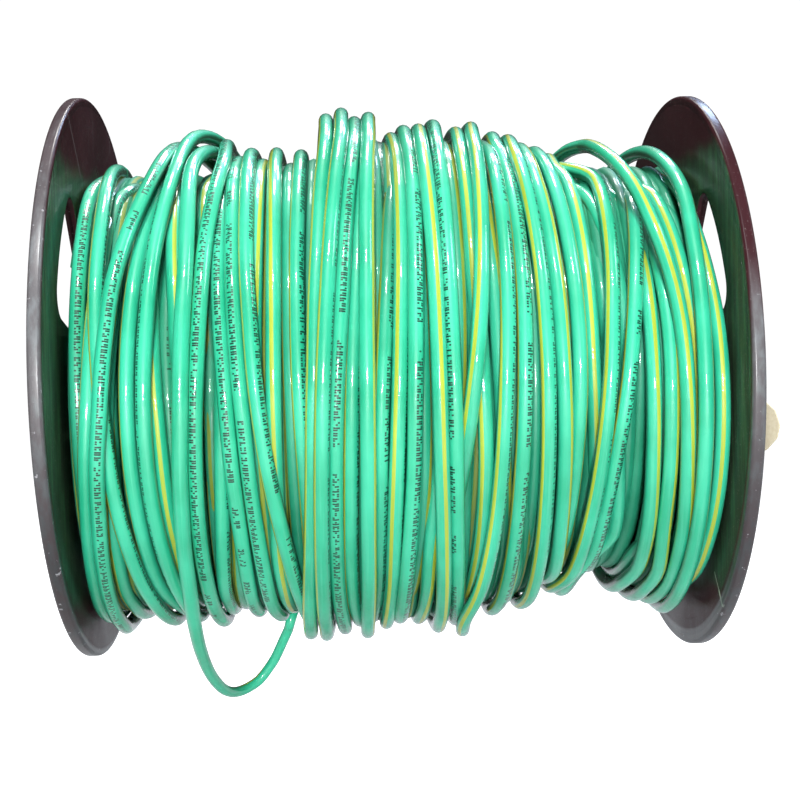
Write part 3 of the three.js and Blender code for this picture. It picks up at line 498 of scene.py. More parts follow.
W = [
    dict(p=[(75, -80.8), (60, -81.0), (45, -81.4), (30, -81.2), (15, -81.2), (0, -81.0), (-10, -80.9), (-20, -80.8)], l=-0.3, s=170, m=15),
    dict(p=[(75, -77.9), (60, -77.4), (50, -77.1), (40, -76.8), (30, -76.7), (20, -76.7), (10, -76.3), (0, -75.5), (-10, -74.9), (-20, -74.0), (-30, -72.9), (-40, -71.2), (-50, -69.4), (-60, -67.2), (-70, -65.3)], l=0.5, s=-60, m=80),
    dict(b=[(30.5, -69.3), (41, -66.3), (53, -63.8), (64.5, -62.2), (75, -60.6), (85, -58.4), (95, -55.2), (105, -51.6), (118, -48.2), (130, -46.5)], r=[(30.5, 68.6), (41, 68.0), (53, 67.1), (64.5, 66.7), (75, 66.3), (85, 66.3), (95, 66.0), (105, 65.8), (118, 65.3), (130, 64.8)], p=[(30, -71.1), (20, -72.5), (10, -73.6), (0, -74.9), (-10, -75.8), (-20, -77.3), (-30, -77.8), (-40, -78.7), (-50, -79.25), (-60, -79.6), (-70, -80.0)], l=1.2, s=165, m=[(80, 25), (-70, 5)]),
    dict(p=[(30, -75.8), (20, -76.4), (10, -77.2), (0, -77.9), (-10, -78.9), (-20, -80.0), (-30, -80.7), (-40, -81.5), (-50, -82.0), (-60, -82.5), (-70, -83.2)], l=0, s=[(15, -60), (-40, -90)]),
    dict(p=[(70, -71.8), (60, -72.4), (50, -72.8), (40, -73.3), (30, -73.9), (20, -74.3)], l=-1, s=200, m=60),
    dict(p=[(60, -62.3), (50, -62.8), (40, -64.2), (30, -65.7), (20, -67.0), (10, -67.9), (0, -68.5), (-10, -68.7), (-20, -68.5), (-30, -67.8), (-40, -66.7), (-50, -65.2), (-60, -63.2), (-66, -61.9)], l=0, s=-65),
    dict(p=[(30, -61.9), (20, -62.9), (10, -63.6), (0, -64.25), (-10, -64.5), (-20, -64.4), (-30, -63.7), (-40, -62.4), (-50, -60.8), (-60, -58.8)], l=[(70, 0.5), (88, 1.8)], s=190, m=-65, b=[(36, -60.9), (44.5, -59.8), (57, -58.6), (67.5, -58.0), (79, -56.7), (88.5, -54.2), (94, -51.9), (99.5, -49.3), (112, -45.2), (126, -42.8)], r=[(36, 67.2), (44.5, 66.6), (57, 65.9), (67.5, 66.3), (79, 69.2), (88.5, 71.6), (94, 71.9), (99.5, 71.6), (112, 70.2), (126, 67.8)]),
    dict(p=[(55, -58.6), (45, -58.0), (35, -57.5), (25, -57.0), (15, -56.3), (5, -55.7)], l=-0.5, s=15),
    dict(p=[(30, -53.8), (20, -53.9), (10, -54.5), (0, -55.0), (-10, -55.4), (-20, -56.2), (-30, -56.5), (-40, -57.0), (-47.2, -57.1)], l=[(50, 1.5), (70, 0.3)], s=180, b=[(40.5, -53.6), (53, -53.9), (63.5, -53.1), (74, -51.5), (84, -49.5), (95, -46.8), (110, -43.8), (126, -41.8)], r=[(40.5, 69.8), (53, 68.2), (63.5, 67.1), (74, 65.6), (84, 64.8), (95, 64.2), (110, 63.4), (126, 62.6)], slack=True),
    dict(p=[(10, -62.2), (0, -61.8), (-10, -61.0), (-20, -60.5), (-30, -59.9), (-40, -58.7)], l=-0.4, s=0),
    dict(p=[(25, -57.5), (15, -58.3), (5, -58.5), (-5, -58.2), (-15, -57.9), (-25, -57.6), (-40, -57.3)], l=-0.7, s=170, m=35),
    dict(p=[(20, -72.0), (12, -72.4), (5, -73.0), (-5, -73.8), (-15, -74.3), (-25, -74.6), (-40, -74.6), (-60, -74.6), (-70, -74.7)], l=-0.4, s=[(12, 30), (-40, -35)]),
    dict(p=[(63, -49.2), (50, -50.0), (40, -49.8), (30, -49.2), (20, -48.4), (10, -47.6), (0, -47.2), (-10, -47.4), (-20, -47.5), (-30, -47.1), (-40, -46.7)], l=-1, s=[(60, 0), (-40, -25)]),
    dict(p=[(80, -46.5), (70, -46.0), (60, -46.2), (50, -47.1), (40, -47.9), (30, -49.0), (20, -49.6), (10, -50.3), (0, -51.0), (-10, -51.8), (-20, -52.25), (-30, -52.5), (-40, -52.5), (-50, -52.1), (-60, -51.6), (-68, -51.0)], l=0.7, s=175, m=-10),
    dict(p=[(65, -44.2), (55, -44.6), (45, -45.0), (30, -45.3), (20, -45.3), (10, -44.9), (0, -44.2), (-10, -43.6), (-20, -43.0), (-30, -42.1), (-40, -41.45), (-50, -40.9), (-60, -40.5)], l=[(60, -0.5), (20, 0), (-60, 0)], s=180, m=-10),
    dict(p=[(10, -44.0), (0, -44.5), (-10, -44.9), (-20, -45.4), (-30, -46.0), (-40, -46.8), (-50, -47.5), (-60, -47.7)], l=-0.3, s=200, m=60),
    dict(p=[(-30, -42.0), (-40, -42.4), (-50, -42.9), (-60, -43.5)], l=-0.7, s=-50),
    dict(p=[(60, -42.4), (50, -42.5), (40, -42.25), (30, -42.1), (20, -41.7), (10, -41.2), (0, -40.5), (-10, -39.5), (-20, -38.8), (-30, -37.9), (-40, -37.0), (-50, -36.2), (-60, -35.3), (-66, -34.4)], l=0, s=165, m=-18),
    dict(p=[(70, -38.8), (60, -38.8), (50, -38.7), (40, -38.5), (30, -38.4), (20, -38.0), (10, -37.25), (0, -36.6), (-10, -35.4), (-20, -34.0), (-30, -32.0), (-40, -30.1), (-50, -28.3), (-60, -26.5)], l=0.5, s=-65, m=50),
    dict(p=[(60, -35.6), (50, -35.65), (40, -35.7), (20, -35.9), (0, -36.3), (-10, -36.0), (-20, -35.6), (-30, -35.2), (-40, -34.8)], l=[(60, 0), (20, 0), (-10, -0.5), (-40, -0.5)], s=[(60, 38), (-30, 0)]),
    dict(p=[(80, -31.9), (70, -31.5), (60, -31.5), (50, -31.3), (40, -31.2), (30, -31.1), (20, -31.2), (10, -31.3), (0, -31.6), (-10, -31.8), (-20, -31.9), (-30, -31.9), (-40, -32.4), (-50, -31.6), (-60, -30.8)], l=[(60, 0), (0, 0), (-20, -0.5), (-60, -0.5)], s=[(60, -35), (-40, 10)]),
    dict(p=[(60, -27.5), (50, -27.4), (40, -27.3), (20, -27.25), (0, -27.25), (-10, -27.1), (-20, -27.1), (-30, -26.8), (-40, -26.7)], l=-0.6, s=-70, m=60),
    dict(p=[(70, -24.5), (60, -24.3), (50, -24.5), (40, -24.8), (30, -25.1), (20, -25.25), (10, -25.3), (0, -25.3), (-10, -25.0), (-20, -24.5), (-30, -24.0)], l=-0.2, s=-65, m=45),
    dict(p=[(80, -17.1), (70, -17.2), (60, -17.6), (50, -18.2), (40, -19.0), (30, -19.5), (20, -20.2), (10, -20.9), (0, -21.3), (-10, -22.0), (-20, -22.4), (-30, -23.0), (-40, -23.7), (-50, -24.4), (-60, -25.0), (-70, -25.5)], l=0.6, s=-60),
    dict(p=[(80, -12.6), (70, -12.7), (60, -13.3), (50, -14.3), (40, -15.25), (30, -16.3), (20, -17.2), (10, -18.1), (0, -19.0), (-10, -19.7), (-20, -20.2), (-30, -20.6), (-40, -20.9), (-50, -21.0), (-60, -21.1), (-70, -21.2)], l=0.8, s=-60, m=75),
    dict(p=[(80, -8.8), (70, -8.8), (60, -9.45), (50, -10.4), (40, -11.4), (30, -12.5), (20, -13.4), (10, -14.3), (0, -15.4), (-10, -16.2), (-20, -16.7), (-30, -17.0), (-40, -17.1), (-50, -17.0), (-60, -16.6), (-70, -15.8)], l=0.2, s=180, m=[(80, 25), (-60, -5)]),
    dict(p=[(60, -6.6), (50, -7.3), (40, -7.9), (30, -9.1), (20, -9.9), (10, -10.8), (0, -11.7), (-10, -12.3), (-20, -12.75), (-30, -13.1), (-40, -13.3), (-50, -13.2), (-60, -12.6), (-66, -11.7)], l=-0.2, s=-60, m=70),
    dict(p=[(80, -4.7), (70, -4.95), (60, -5.5), (50, -6.15), (40, -6.6), (30, -7.1), (20, -7.4), (10, -7.8), (0, -8.0), (-10, -8.2), (-20, -8.3), (-30, -8.5), (-50, -8.5), (-60, -8.6), (-70, -8.7)], l=0.5, s=57),
    dict(p=[(60, -2.2), (50, -2.5), (40, -3.2), (30, -3.8), (20, -4.3), (10, -4.8), (0, -5.2)], l=-1, s=180, m=10),
    dict(p=[(60, 2.2), (50, 1.3), (40, 0.0), (30, -1.2), (20, -2.1), (10, -3.1), (0, -4.0), (-10, -4.9), (-20, -5.25), (-30, -5.5), (-40, -5.8), (-50, -6.0), (-60, -6.5)], l=-0.2, s=-60, m=50),
    dict(p=[(70, 1.7), (60, 2.0), (50, 2.25), (40, 2.1), (30, 1.9), (20, 1.45), (10, 0.8), (0, 0.2), (-10, -0.5), (-20, -1.05), (-30, -1.6), (-40, -1.95), (-50, -2.2), (-60, -2.75)], l=0, s=-27, m=80),
    dict(p=[(70, 5.3), (60, 5.65), (50, 5.8), (40, 5.7), (30, 5.5), (20, 5.05), (10, 4.6), (0, 4.2), (-10, 3.7), (-20, 3.4), (-30, 2.7), (-40, 2.1), (-50, 1.6), (-60, 1.0)], l=0, s=190, m=30),
    dict(p=[(70, 9.5), (60, 9.4), (50, 9.5), (40, 9.6), (30, 9.75), (20, 9.9), (10, 9.9), (0, 10.0), (-10, 10.1), (-20, 10.3), (-30, 10.8), (-40, 11.2), (-50, 11.7), (-60, 12.1)], l=0.4, s=[(70, 7), (-60, 22)]),
    dict(p=[(20, 5.7), (0, 5.8), (-10, 5.8), (-20, 5.9), (-30, 5.7), (-40, 4.7), (-50, 3.4), (-60, 1.9)], l=-0.6, s=[(-10, 75), (-30, 28), (-60, 28)]),
    dict(p=[(-30, 8.5), (-40, 7.6), (-50, 7.4), (-60, 7.1), (-70, 6.5)], l=-0.5, s=[(-50, 33), (-65, 0)]),
    dict(p=[(80, 14.2), (70, 14.0), (60, 13.7), (50, 13.6), (40, 13.55), (30, 13.5), (20, 13.5), (10, 13.5), (0, 13.7), (-10, 13.85), (-20, 14.0), (-30, 14.3), (-40, 14.8), (-50, 15.4), (-60, 16.0), (-70, 16.7)], l=0.2, s=180, m=[(50, -42), (-20, -40), (-60, -35)]),
    dict(p=[(60, 15.9), (50, 15.9), (40, 15.9), (30, 15.85), (20, 15.8), (10, 15.6), (0, 15.2), (-10, 14.6)], l=-0.6, s=38),
    dict(p=[(80, 21.0), (70, 20.5), (60, 20.0), (50, 19.9), (40, 19.8), (30, 19.7), (20, 19.6), (10, 19.6), (0, 19.6), (-10, 19.5), (-20, 19.2), (-30, 18.6), (-40, 17.6), (-50, 16.6)], l=[(80, -0.2), (40, -0.5), (-50, -0.9)], s=-10),
    dict(p=[(80, 25.5), (70, 24.6), (60, 24.3), (50, 23.9), (40, 23.4), (30, 22.8), (20, 21.9), (10, 20.9), (0, 19.4), (-10, 17.6), (-20, 15.8), (-26, 14.4)], l=[(80, 0.4), (10, 0.5), (-10, 0.1), (-26, -0.8)], s=[(80, -12), (20, -20), (0, -35), (-15, -45)]),
    dict(p=[(30, 24.5), (20, 24.7), (10, 25.0), (0, 25.3), (-10, 25.8), (-20, 26.3)], l=-0.7, s=[(30, 25), (20, 40)]),
    dict(p=[(60, 28.6), (50, 28.6), (40, 28.6), (30, 28.5), (20, 28.4), (10, 28.0), (0, 27.3), (-10, 26.5), (-20, 25.8), (-30, 24.9), (-40, 23.8), (-50, 22.6), (-60, 21.5), (-70, 20.0)], l=0.3, s=[(60, -85), (20, -75), (-10, -50), (-60, -35)], m=[(60, 38), (0, 62), (-40, 66)]),
    dict(p=[(10, 20.6), (0, 20.8), (-10, 21.4), (-20, 21.7), (-30, 21.4), (-40, 20.9), (-50, 19.8), (-60, 18.9)], l=-0.5, s=-35),
    dict(p=[(80, 31.9), (70, 31.3), (60, 31.7), (50, 32.2), (40, 32.6), (30, 32.6), (20, 32.6), (10, 32.4), (0, 32.0), (-10, 31.6), (-20, 31.1), (-30, 30.5), (-40, 29.9), (-50, 29.3), (-60, 28.6), (-70, 28.2)], l=0.15, s=-72, m=[(60, 28), (-10, 38), (-60, 30)]),
    dict(p=[(30, 35.2), (20, 34.9), (0, 34.6), (-10, 34.4), (-20, 34.3), (-30, 34.0), (-40, 33.6), (-50, 33.2)], l=-1.3, s=180),
    dict(p=[(-50, 30.8), (-60, 31.2), (-70, 31.6)], l=-0.6, s=0),
    dict(p=[(80, 36.4), (70, 35.8), (60, 36.0), (50, 36.4), (40, 36.8), (30, 37.2), (20, 37.6), (10, 37.8), (0, 38.0), (-10, 38.0), (-20, 38.0), (-30, 37.9), (-40, 37.8), (-50, 37.6), (-60, 37.2), (-70, 36.7)], l=0.3, s=[(80, -10), (50, -42), (0, -55), (-60, -50)], m=[(50, 62), (-60, 66)]),
    dict(p=[(80, 39.8), (70, 39.4), (60, 39.6), (50, 39.9), (40, 40.5), (30, 41.1), (20, 41.6), (10, 42.0), (0, 42.2), (-10, 42.5), (-20, 42.6), (-30, 42.6), (-40, 42.6), (-50, 42.7), (-60, 43.0), (-70, 43.5)], l=0.2, s=[(60, 34), (0, 42), (-60, 62)]),
    dict(p=[(30, 43.7), (10, 44.2)], l=-1.1, s=0),
    dict(p=[(80, 44.4), (70, 44.0), (60, 44.5), (50, 44.9), (40, 45.5), (30, 46.0), (20, 46.4), (10, 46.6), (0, 46.6), (-10, 46.3), (-20, 45.5), (-30, 44.8), (-40, 43.8), (-48, 43.2)], l=[(80, 0.1), (-10, 0.1), (-40, -0.5), (-48, -0.8)], s=66),
    dict(p=[(80, 49.0), (70, 48.5), (60, 48.8), (50, 49.1), (40, 49.5), (30, 49.7), (20, 49.8), (10, 49.9), (0, 49.9), (-10, 50.2), (-20, 50.6)], l=[(80, -0.1), (10, -0.2), (-20, -0.8)], s=[(80, 8), (60, 0), (0, -2)]),
    dict(p=[(72, 50.5), (67, 52.6), (62, 54.8), (57, 56.4), (50, 57.3), (45, 57.5), (40, 57.5), (30, 57.1), (20, 56.5), (10, 55.5), (0, 54.7), (-10, 53.6), (-20, 52.4), (-30, 51.2), (-40, 49.9), (-50, 48.5), (-60, 47.1), (-70, 45.9)], l=[(70, 0.0), (50, 0.8), (-30, 0.9), (-70, 0.4)], s=[(60, -30), (40, -36), (0, -50), (-60, -62)], m=[(50, 60), (-50, 66)]),
    dict(p=[(45, 66.0), (40, 65.3), (35, 64.7), (30, 64.1), (25, 63.4), (20, 62.6), (13, 61.6), (8, 60.8), (2, 59.9), (-3, 59.2), (-9, 58.1), (-15, 57.0), (-20, 56.0), (-26, 55.0), (-32, 54.1), (-40, 53.1), (-48, 52.3), (-55, 51.4), (-62, 50.6), (-70, 49.8)], l=[(45, 0.1), (25, 0.6), (-10, 0.7), (-70, 0.4)], s=-76, m=[(40, 52), (0, 36), (-55, 24)]),
    dict(p=[(30, 70.1), (25, 70.9), (20, 71.8), (15, 72.4), (10, 73.1), (5, 73.5), (0, 73.8), (-10, 74.1), (-20, 74.4), (-40, 75.0), (-60, 75.5), (-70, 75.8)], l=[(60, 1.5), (30, 1.0), (0, 0.4), (-60, -0.1)], s=[(80, -10), (0, 4), (-20, 25), (-40, 45), (-60, 50)], b=[(38.5, 66.9), (46.5, 65.2), (53, 63.6), (62, 61.6), (74, 59.6), (85, 57.5), (95, 55.2), (110, 52.2), (126, 50.0)], r=[(38.5, 68.8), (46.5, 67.7), (53, 67.0), (62, 66.2), (74, 65.4), (85, 64.8), (95, 64.2), (110, 63.6), (126, 62.8)]),
    dict(p=[(66, 51.4), (60, 52.3), (50, 53.2), (45, 53.8), (40, 54.6), (35, 55.5), (30, 56.3)], l=-0.4, s=190),
    dict(p=[(40, 52.4), (35, 52.7), (30, 53.0), (20, 53.3), (10, 53.7), (5, 54.0)], l=-0.9, s=200),
    dict(p=[(55, 59.4), (45, 59.8), (35, 60.5), (25, 61.0), (15, 61.0)], l=-1.0, s=180),
    dict(p=[(64, 59.8), (55, 61.5), (50, 62.6), (45, 63.5), (38, 64.8)], l=-0.5, s=25),
    dict(p=[(66, 69.3), (58, 70.6), (54, 71.8), (50, 73.2), (45, 74.3), (40, 74.8), (35, 75.2), (30, 75.6)], l=-0.6, s=-42),
    dict(p=[(60, 69.6), (45, 71.5), (40, 72.3), (30, 73.8), (20, 75.0)], l=-0.4, s=-20),
    dict(p=[(30, 79.1), (20, 79.0), (10, 78.8), (0, 78.7), (-10, 78.8), (-20, 78.9), (-30, 79.0), (-40, 79.2), (-50, 79.3), (-60, 79.5), (-70, 79.8)], l=0.6, s=68, b=[(41.5, 79.7), (55.5, 79.2), (67.5, 78.3), (77, 77.6), (88, 76.4), (100, 74.2), (112, 71.8), (126, 69.8)], r=[(41.5, 65.5), (55.5, 63.9), (67.5, 63.1), (77, 62.9), (88, 62.9), (100, 62.9), (112, 62.5), (126, 62.0)]),
    dict(p=[(50, 79.6), (38, 79.8), (30, 80.2), (25, 80.8), (18, 81.4), (12, 82.1), (5, 82.6), (0, 82.8), (-8, 83.0), (-20, 83.1), (-30, 83.0), (-38, 82.6), (-45, 82.1), (-52, 81.6), (-60, 80.9)], l=-0.2, s=[(20, 5), (0, -6), (-40, -12)]),
    dict(p=[(30, 64.9), (25, 65.0), (20, 65.2), (10, 65.3), (0, 65.4), (-10, 65.5), (-20, 65.6), (-30, 65.85), (-40, 66.0), (-50, 66.0), (-60, 65.8), (-70, 65.2)], l=[(30, -0.4), (0, -0.1), (-40, 0.3), (-70, 0.3)], s=[(20, 10), (0, 12), (-40, 40), (-70, 50)]),
    dict(p=[(30, 68.8), (20, 69.3), (10, 69.9), (0, 70.1), (-10, 69.95), (-20, 69.9), (-30, 70.0), (-40, 70.2), (-50, 70.4), (-60, 70.6), (-70, 70.8)], l=[(30, -0.3), (-20, 0.1), (-70, 0.2)], s=[(0, 38), (-60, 42)]),
    dict(p=[(-10, 55.6), (-20, 56.2), (-30, 56.9), (-40, 57.2), (-48, 57.1), (-54, 56.3), (-60, 55.2)], l=-0.5, s=180),
]

LO, HI, STEP = -70.0, 80.0, 3.0
NW = len(W)
NS = int(360 / STEP)


def rows(v, q, default=0.0):
    if v is None:
        return np.full(len(q), default)
    if isinstance(v, (int, float)):
        return np.full(len(q), float(v))
    a = sorted(v)
    return np.interp(q, [k[0] for k in a], [k[1] for k in a])


# Where each turn stands at the top and at the bottom of its traced run; hidden parts carry on straight.
for w in W:
    low = min([k[0] for k in w.get("b", [])] + [999])
    w["p"] = sorted([k for k in w["p"] if k[0] < low - 5] + [k for k in w.get("b", []) if k[0] <= HI])
    w["true_from"] = low
    front = [k for k in w["p"] if k[0] <= HI]
    run = (front[1][1] - front[0][1]) / (front[1][0] - front[0][0])
    on = float(np.clip(run * (LO - 8 - front[0][0]) * 0.5, -1.6, 1.6))
    w["x_bot"] = front[0][1] + on
    w["x_top"] = front[-1][1]
    w["seen"] = (front[0][0], front[-1][0])
slack = next(i for i, w in enumerate(W) if w.get("slack"))
LOOP_X = -30.6


def level(w, q):
    base = rows(w["l"], q)
    lo, hi = w["seen"]
    if lo > LO + 3:
        base = base - 0.8 * np.clip((lo - q) / 24.0, 0, 1)
    if hi < HI - 3:
        base = base - 1.1 * np.clip((q - hi) / 18.0, 0, 1)
    return base


top_rank = np.argsort(np.argsort([w["x_top"] + (0 if w["seen"][1] > 60 else 0.3) for w in W]))
bot_rank = np.argsort(np.argsort([LOOP_X if i == slack else w["x_bot"] for i, w in enumerate(W)]))
by_top = np.argsort(top_rank)
follow = [int(by_top[(bot_rank[i] + 1) % NW]) for i in range(NW)]     # the turn each one becomes behind
EVEN = -84.2 + (np.arange(NW) + 0.5) * (168.4 / NW)

# controls in unwrapped angle, falling from +80 through the front, under and behind to -280
for i, w in enumerate(W):
    nx = W[follow[i]]
    xb = LOOP_X if i == slack else w["x_bot"]
    c = [(k, x) for k, x in w["p"] if LO <= k <= HI]
    if c[-1][0] < HI - 4:
        c.append((HI, c[-1][1]))
    if i == slack:
        c = [k for k in c if k[0] > -47.3]
    elif c[0][0] > LO + 4:
        c.insert(0, (LO - 6, xb))
    w["front"] = c
    last = bot_rank[i] == NW - 1
    back = []
    for a in (-98.0, -120.0, -145.0, -175.0, -205.0, -230.0, -255.0):
        t = (a - LO) / (HI - 360 - LO)
        e = EVEN[min(bot_rank[i] + 1, NW - 1)]
        blendw = math.sin(math.pi * t) ** 1.8
        xt = 84.0 if last else nx["x_top"]
        x = (xb + (xt - xb) * t * t * (3 - 2 * t)) * (1 - blendw) + e * blendw + RNG.uniform(-0.5, 0.5) * blendw
        back.append((a, float(np.clip(x, -84.2, 84.2))))
    w["back"] = back
    w["zig"] = -0.2 - 0.85 * (int(bot_rank[i]) % 2) + RNG.uniform(-0.12, 0.12)
    w["last"] = bool(last)
# where a turn has its own course behind the top, the turn that becomes it keeps to that course
for i, w in enumerate(W):
    own = [k for k in w["p"] if k[0] > HI] + w.get("b", [])
    own = [k for k in own if k[0] > HI + 1]
    if own:
        prev = follow.index(i)
        lim = max(k[0] for k in own) - 360
        W[prev]["back"] = sorted([k for k in W[prev]["back"] if k[0] > lim + 22] + [(a - 360, x) for a, x in own], reverse=True)

A = HI - STEP * np.arange(NS + 1)          # 80 ... -280
X = np.zeros((NW, NS + 1))
LV = np.zeros((NW, NS + 1))
PIN = np.full((NW, NS + 1), np.nan)
PW = np.zeros((NW, NS + 1))
for i, w in enumerate(W):
    nx = W[follow[i]]
    prev = W[follow.index(i)]
    c = sorted(w["front"]) + []
    full = {a: x for a, x in c}
    for a, x in w["back"]:
        full[a] = x
    if not w["last"]:
        for a, x in nx["front"]:
            if a > 40:
                full[a - 360] = x
    for a, x in prev["back"]:
        if a < -240 and not prev["last"]:
            full[a + 360] = x
    if i == slack:
        full[-84.0] = LOOP_X
    ks = sorted(full)
    X[i] = catmull(ks, [full[k] for k in ks], A)
    fl = level(w, A)
    nl = level(nx, A + 360)
    z = w["zig"]
    f1 = np.clip((LO + 4 - A) / 56.0, 0, 1)
    f1 = f1 * f1 * (3 - 2 * f1)
    f2 = np.clip((A - (HI - 360 + 42)) / 34.0, 0, 1)
    LV[i] = np.where(A > LO - 80, fl * (1 - f1) + z * f1, z * f2 + nl * (1 - f2))
    # the arches keep their own radius
    for src, shift in ((w, 0.0), (nx, 360.0)):
        if src.get("r") and not (shift and w["last"]):
            rr = sorted(src["r"])
            q = A + shift
            ok = (q >= rr[0][0] - 15) & (q <= rr[-1][0] + 21) & ((A > LO) if not shift else (A < -180))
            PIN[i, ok] = np.interp(q[ok], [k[0] for k in rr], [k[1] for k in rr])
            PW[i, ok] = np.clip(np.minimum((q[ok] - rr[0][0] + 15) / 15, (rr[-1][0] + 21 - q[ok]) / 21), 0, 1)
X = np.clip(X, -84.5, 84.5)
XREF = X.copy()
DEG = np.where(A < -180, A + 360, A)


def to_true(i, k, rho):
    """The reference reading (angle, X) carried along the sight line to radius rho."""
    a, x = A[k], XREF[i, k]
    p = pt(x, float(ref_skin(x, a)), a)
    d = p - CAM
    aa = d[1] ** 2 + d[2] ** 2
    bb = 2 * (CAM[1] * d[1] + CAM[2] * d[2])
    cc = CAM[1] ** 2 + CAM[2] ** 2 - rho * rho
    disc = bb * bb - 4 * aa * cc
    if disc <= 0:
        return a, x
    s = (-bb - math.sqrt(disc)) / (2 * aa)
    q = CAM + s * d
    return math.degrees(math.atan2(q[2], -q[1])), q[0]


def stack(X, rounds=26):
    """Radii: start from skin and level, then turns that overlap push each other apart, the lower one most."""
    want = np.empty_like(X)
    for k in range(NS + 1):
        want[:, k] = skin(X[:, k], DEG[k]) - WIRE_R + 3.3 * LV[:, k]
    pin = np.where(np.isnan(PIN), 0.0, PIN)
    ease = PW * PW * (3 - 2 * PW)
    want = want * (1 - ease) + pin * ease
    rho = want.copy()
    slope = np.abs(np.gradient(X, axis=1)) / (np.radians(STEP) * 74.0)
    for r in range(rounds):
        for k in range(NS + 1):
            x, p, l = X[:, k], rho[:, k], LV[:, k]
            dx = np.abs(x[:, None] - x[None, :])
            sl = 1 / np.sqrt(1 + slope[:, k] ** 2)
            need = np.sqrt(np.clip((2 * WIRE_R) ** 2 - (dx * np.minimum(sl[:, None], sl[None, :])) ** 2, 0, None))
            upper = (l[:, None] > l[None, :]) | ((l[:, None] == l[None, :]) & (np.arange(NW)[:, None] > np.arange(NW)[None, :]))
            gap = p[:, None] - p[None, :]
            short = np.where(upper & (need > 0), need - gap, 0.0)
            short = np.clip(short, 0, 3.0)
            np.fill_diagonal(short, 0)
            up = short.max(1)
            down = short.max(0)
            rho[:, k] = p + 0.22 * up - 0.5 * down
            rho[:, k] += 0.03 * (want[:, k] - rho[:, k])
        rho = rho * (1 - 0.6 * ease) + pin * 0.6 * ease
        if r % 6 == 5 or r == rounds - 1:
            ext = np.zeros((NW, NS + 7))
            ext[:, 3:-3] = rho
            for i in range(NW):
                pv = follow.index(i)
                ext[i, :3] = rho[pv, -4:-1]
                ext[i, -3:] = rho[follow[i], 1:4]
            ker = np.array([1, 3, 5, 6, 5, 3, 1]) / 24.0
            rho = np.stack([np.convolve(e, ker, "valid") for e in ext])
    return rho


RHO = stack(X, 14)
for _ in range(2):
    X2 = X.copy()
    for i in range(NW):
        lim = -47.0 if i == slack else -84.0
        ks = [k for k in range(NS + 1) if lim <= A[k] <= 74]
        got = sorted(to_true(i, k, RHO[i, k]) for k in ks)
        ga = np.array([g[0] for g in got])
        gx = np.array([g[1] for g in got])
        q = A[ks]
        new = np.interp(q, ga, gx)
        hi_q = min(74.0, W[i]["true_from"])
        fade = np.clip((hi_q - q) / 12.0, 0, 1) * np.clip((q + 84) / 20.0, 0, 1)
        X2[i, ks] = XREF[i, ks] * (1 - fade) + new * fade
    X = np.clip(X2, -84.6, 84.6)
    RHO = stack(X, 22)
def ease_along(V, sigma):
    """Smooths each turn along its course, across the joins to the turns before and after it."""
    pad = 12
    g = np.exp(-0.5 * (np.arange(-pad, pad + 1) / sigma) ** 2)
    g /= g.sum()
    out = V.copy()
    for i in range(NW):
        pv = follow.index(i)
        before = np.full(pad, V[i, 0]) if W[pv]["last"] else V[pv, -pad - 1:-1]
        after = np.full(pad, V[i, -1]) if W[i]["last"] else V[follow[i], 1:pad + 1]
        if i == slack:
            cut = int(np.searchsorted(-A, 50.0))
            e = np.concatenate([before, V[i, :cut], np.full(pad, V[i, cut - 1])])
            out[i, :cut] = np.convolve(e, g, "valid")
            e = np.concatenate([np.full(pad, V[i, cut]), V[i, cut:], after])
            out[i, cut:] = np.convolve(e, g, "valid")
        else:
            out[i] = np.convolve(np.concatenate([before, V[i], after]), g, "valid")
    return out


RHO = ease_along(RHO, 2.4)
X = ease_along(X, 1.3)
# the join between one turn and the next
for i in range(NW):
    if not W[i]["last"]:
        X[i, -1], RHO[i, -1] = X[follow[i], 0], RHO[follow[i], 0]
RHO = np.clip(RHO, 54.5, 81.9)

PATH = np.stack([X, -RHO * np.cos(np.radians(A)), RHO * np.sin(np.radians(A))], -1)


def radial_of(path):
    v = np.array(path, float)
    v[:, 0] = 0
    return v / np.linalg.norm(v, axis=1)[:, None]


def marks(w, nx, q):
    """Stripe and print angle along a whole turn."""
    s0 = rows(w.get("s"), q, 180.0)
    s1 = rows(nx.get("s"), q + 360, 180.0)
    t = np.clip((-95 - q) / 150.0, 0, 1)
    s = s0 * (1 - t) + s1 * t
    m = w.get("m")
    p = np.full(len(q), np.nan)
    if m is not None:
        ok = q > -88
        p[ok] = rows(m, q)[ok]
    if nx.get("m") is not None:
        ok = q + 360 < 100
        p[ok] = rows(nx["m"], q + 360)[ok]
    return s, p


GROUPS = [("wound_turns_left", -90, -44, ("outer_winding", "loose_turn_left")),
          ("wound_turns_mid_left", -44, -9, ("loose_turn_middle",)),
          ("wound_turns_centre", -9, 28, ("loose_turn_centre",)),
          ("wound_turns_right", 28, 90, ("loose_turn_right",))]
SIDES = 14
for name, lo, hi, old in GROUPS:
    tb = Tubes(SIDES)
    for i, w in enumerate(W):
        if not lo <= np.median(X[i, :50]) < hi:
            continue
        s, p = marks(w, W[follow[i]], A)
        sel = np.ones(NS + 1, bool)
        if i == slack:
            sel = A <= -104.0
        if w["last"]:
            sel &= A > -262
        idx = np.where(sel)[0]
        # how far the turn sits below the outer skin; passed on as the depth attribute that drives the painted shade in
        # the jacket material
        sunk = np.clip((skin(X[i, idx], DEG[idx]) - WIRE_R - 1.2 - RHO[i, idx]) / 5.0, 0, 1)
        tb.add(PATH[i, idx], radial_of(PATH[i, idx]), WIRE_R, s[idx], p[idx], depth=sunk, u0=i * 37.3, caps=bool(i == slack or w["last"] or bot_rank[i] == 0 or top_rank[i] == 0))
    ob = tb.build(name, "spool", MAT_WIRE)
    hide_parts(*old)

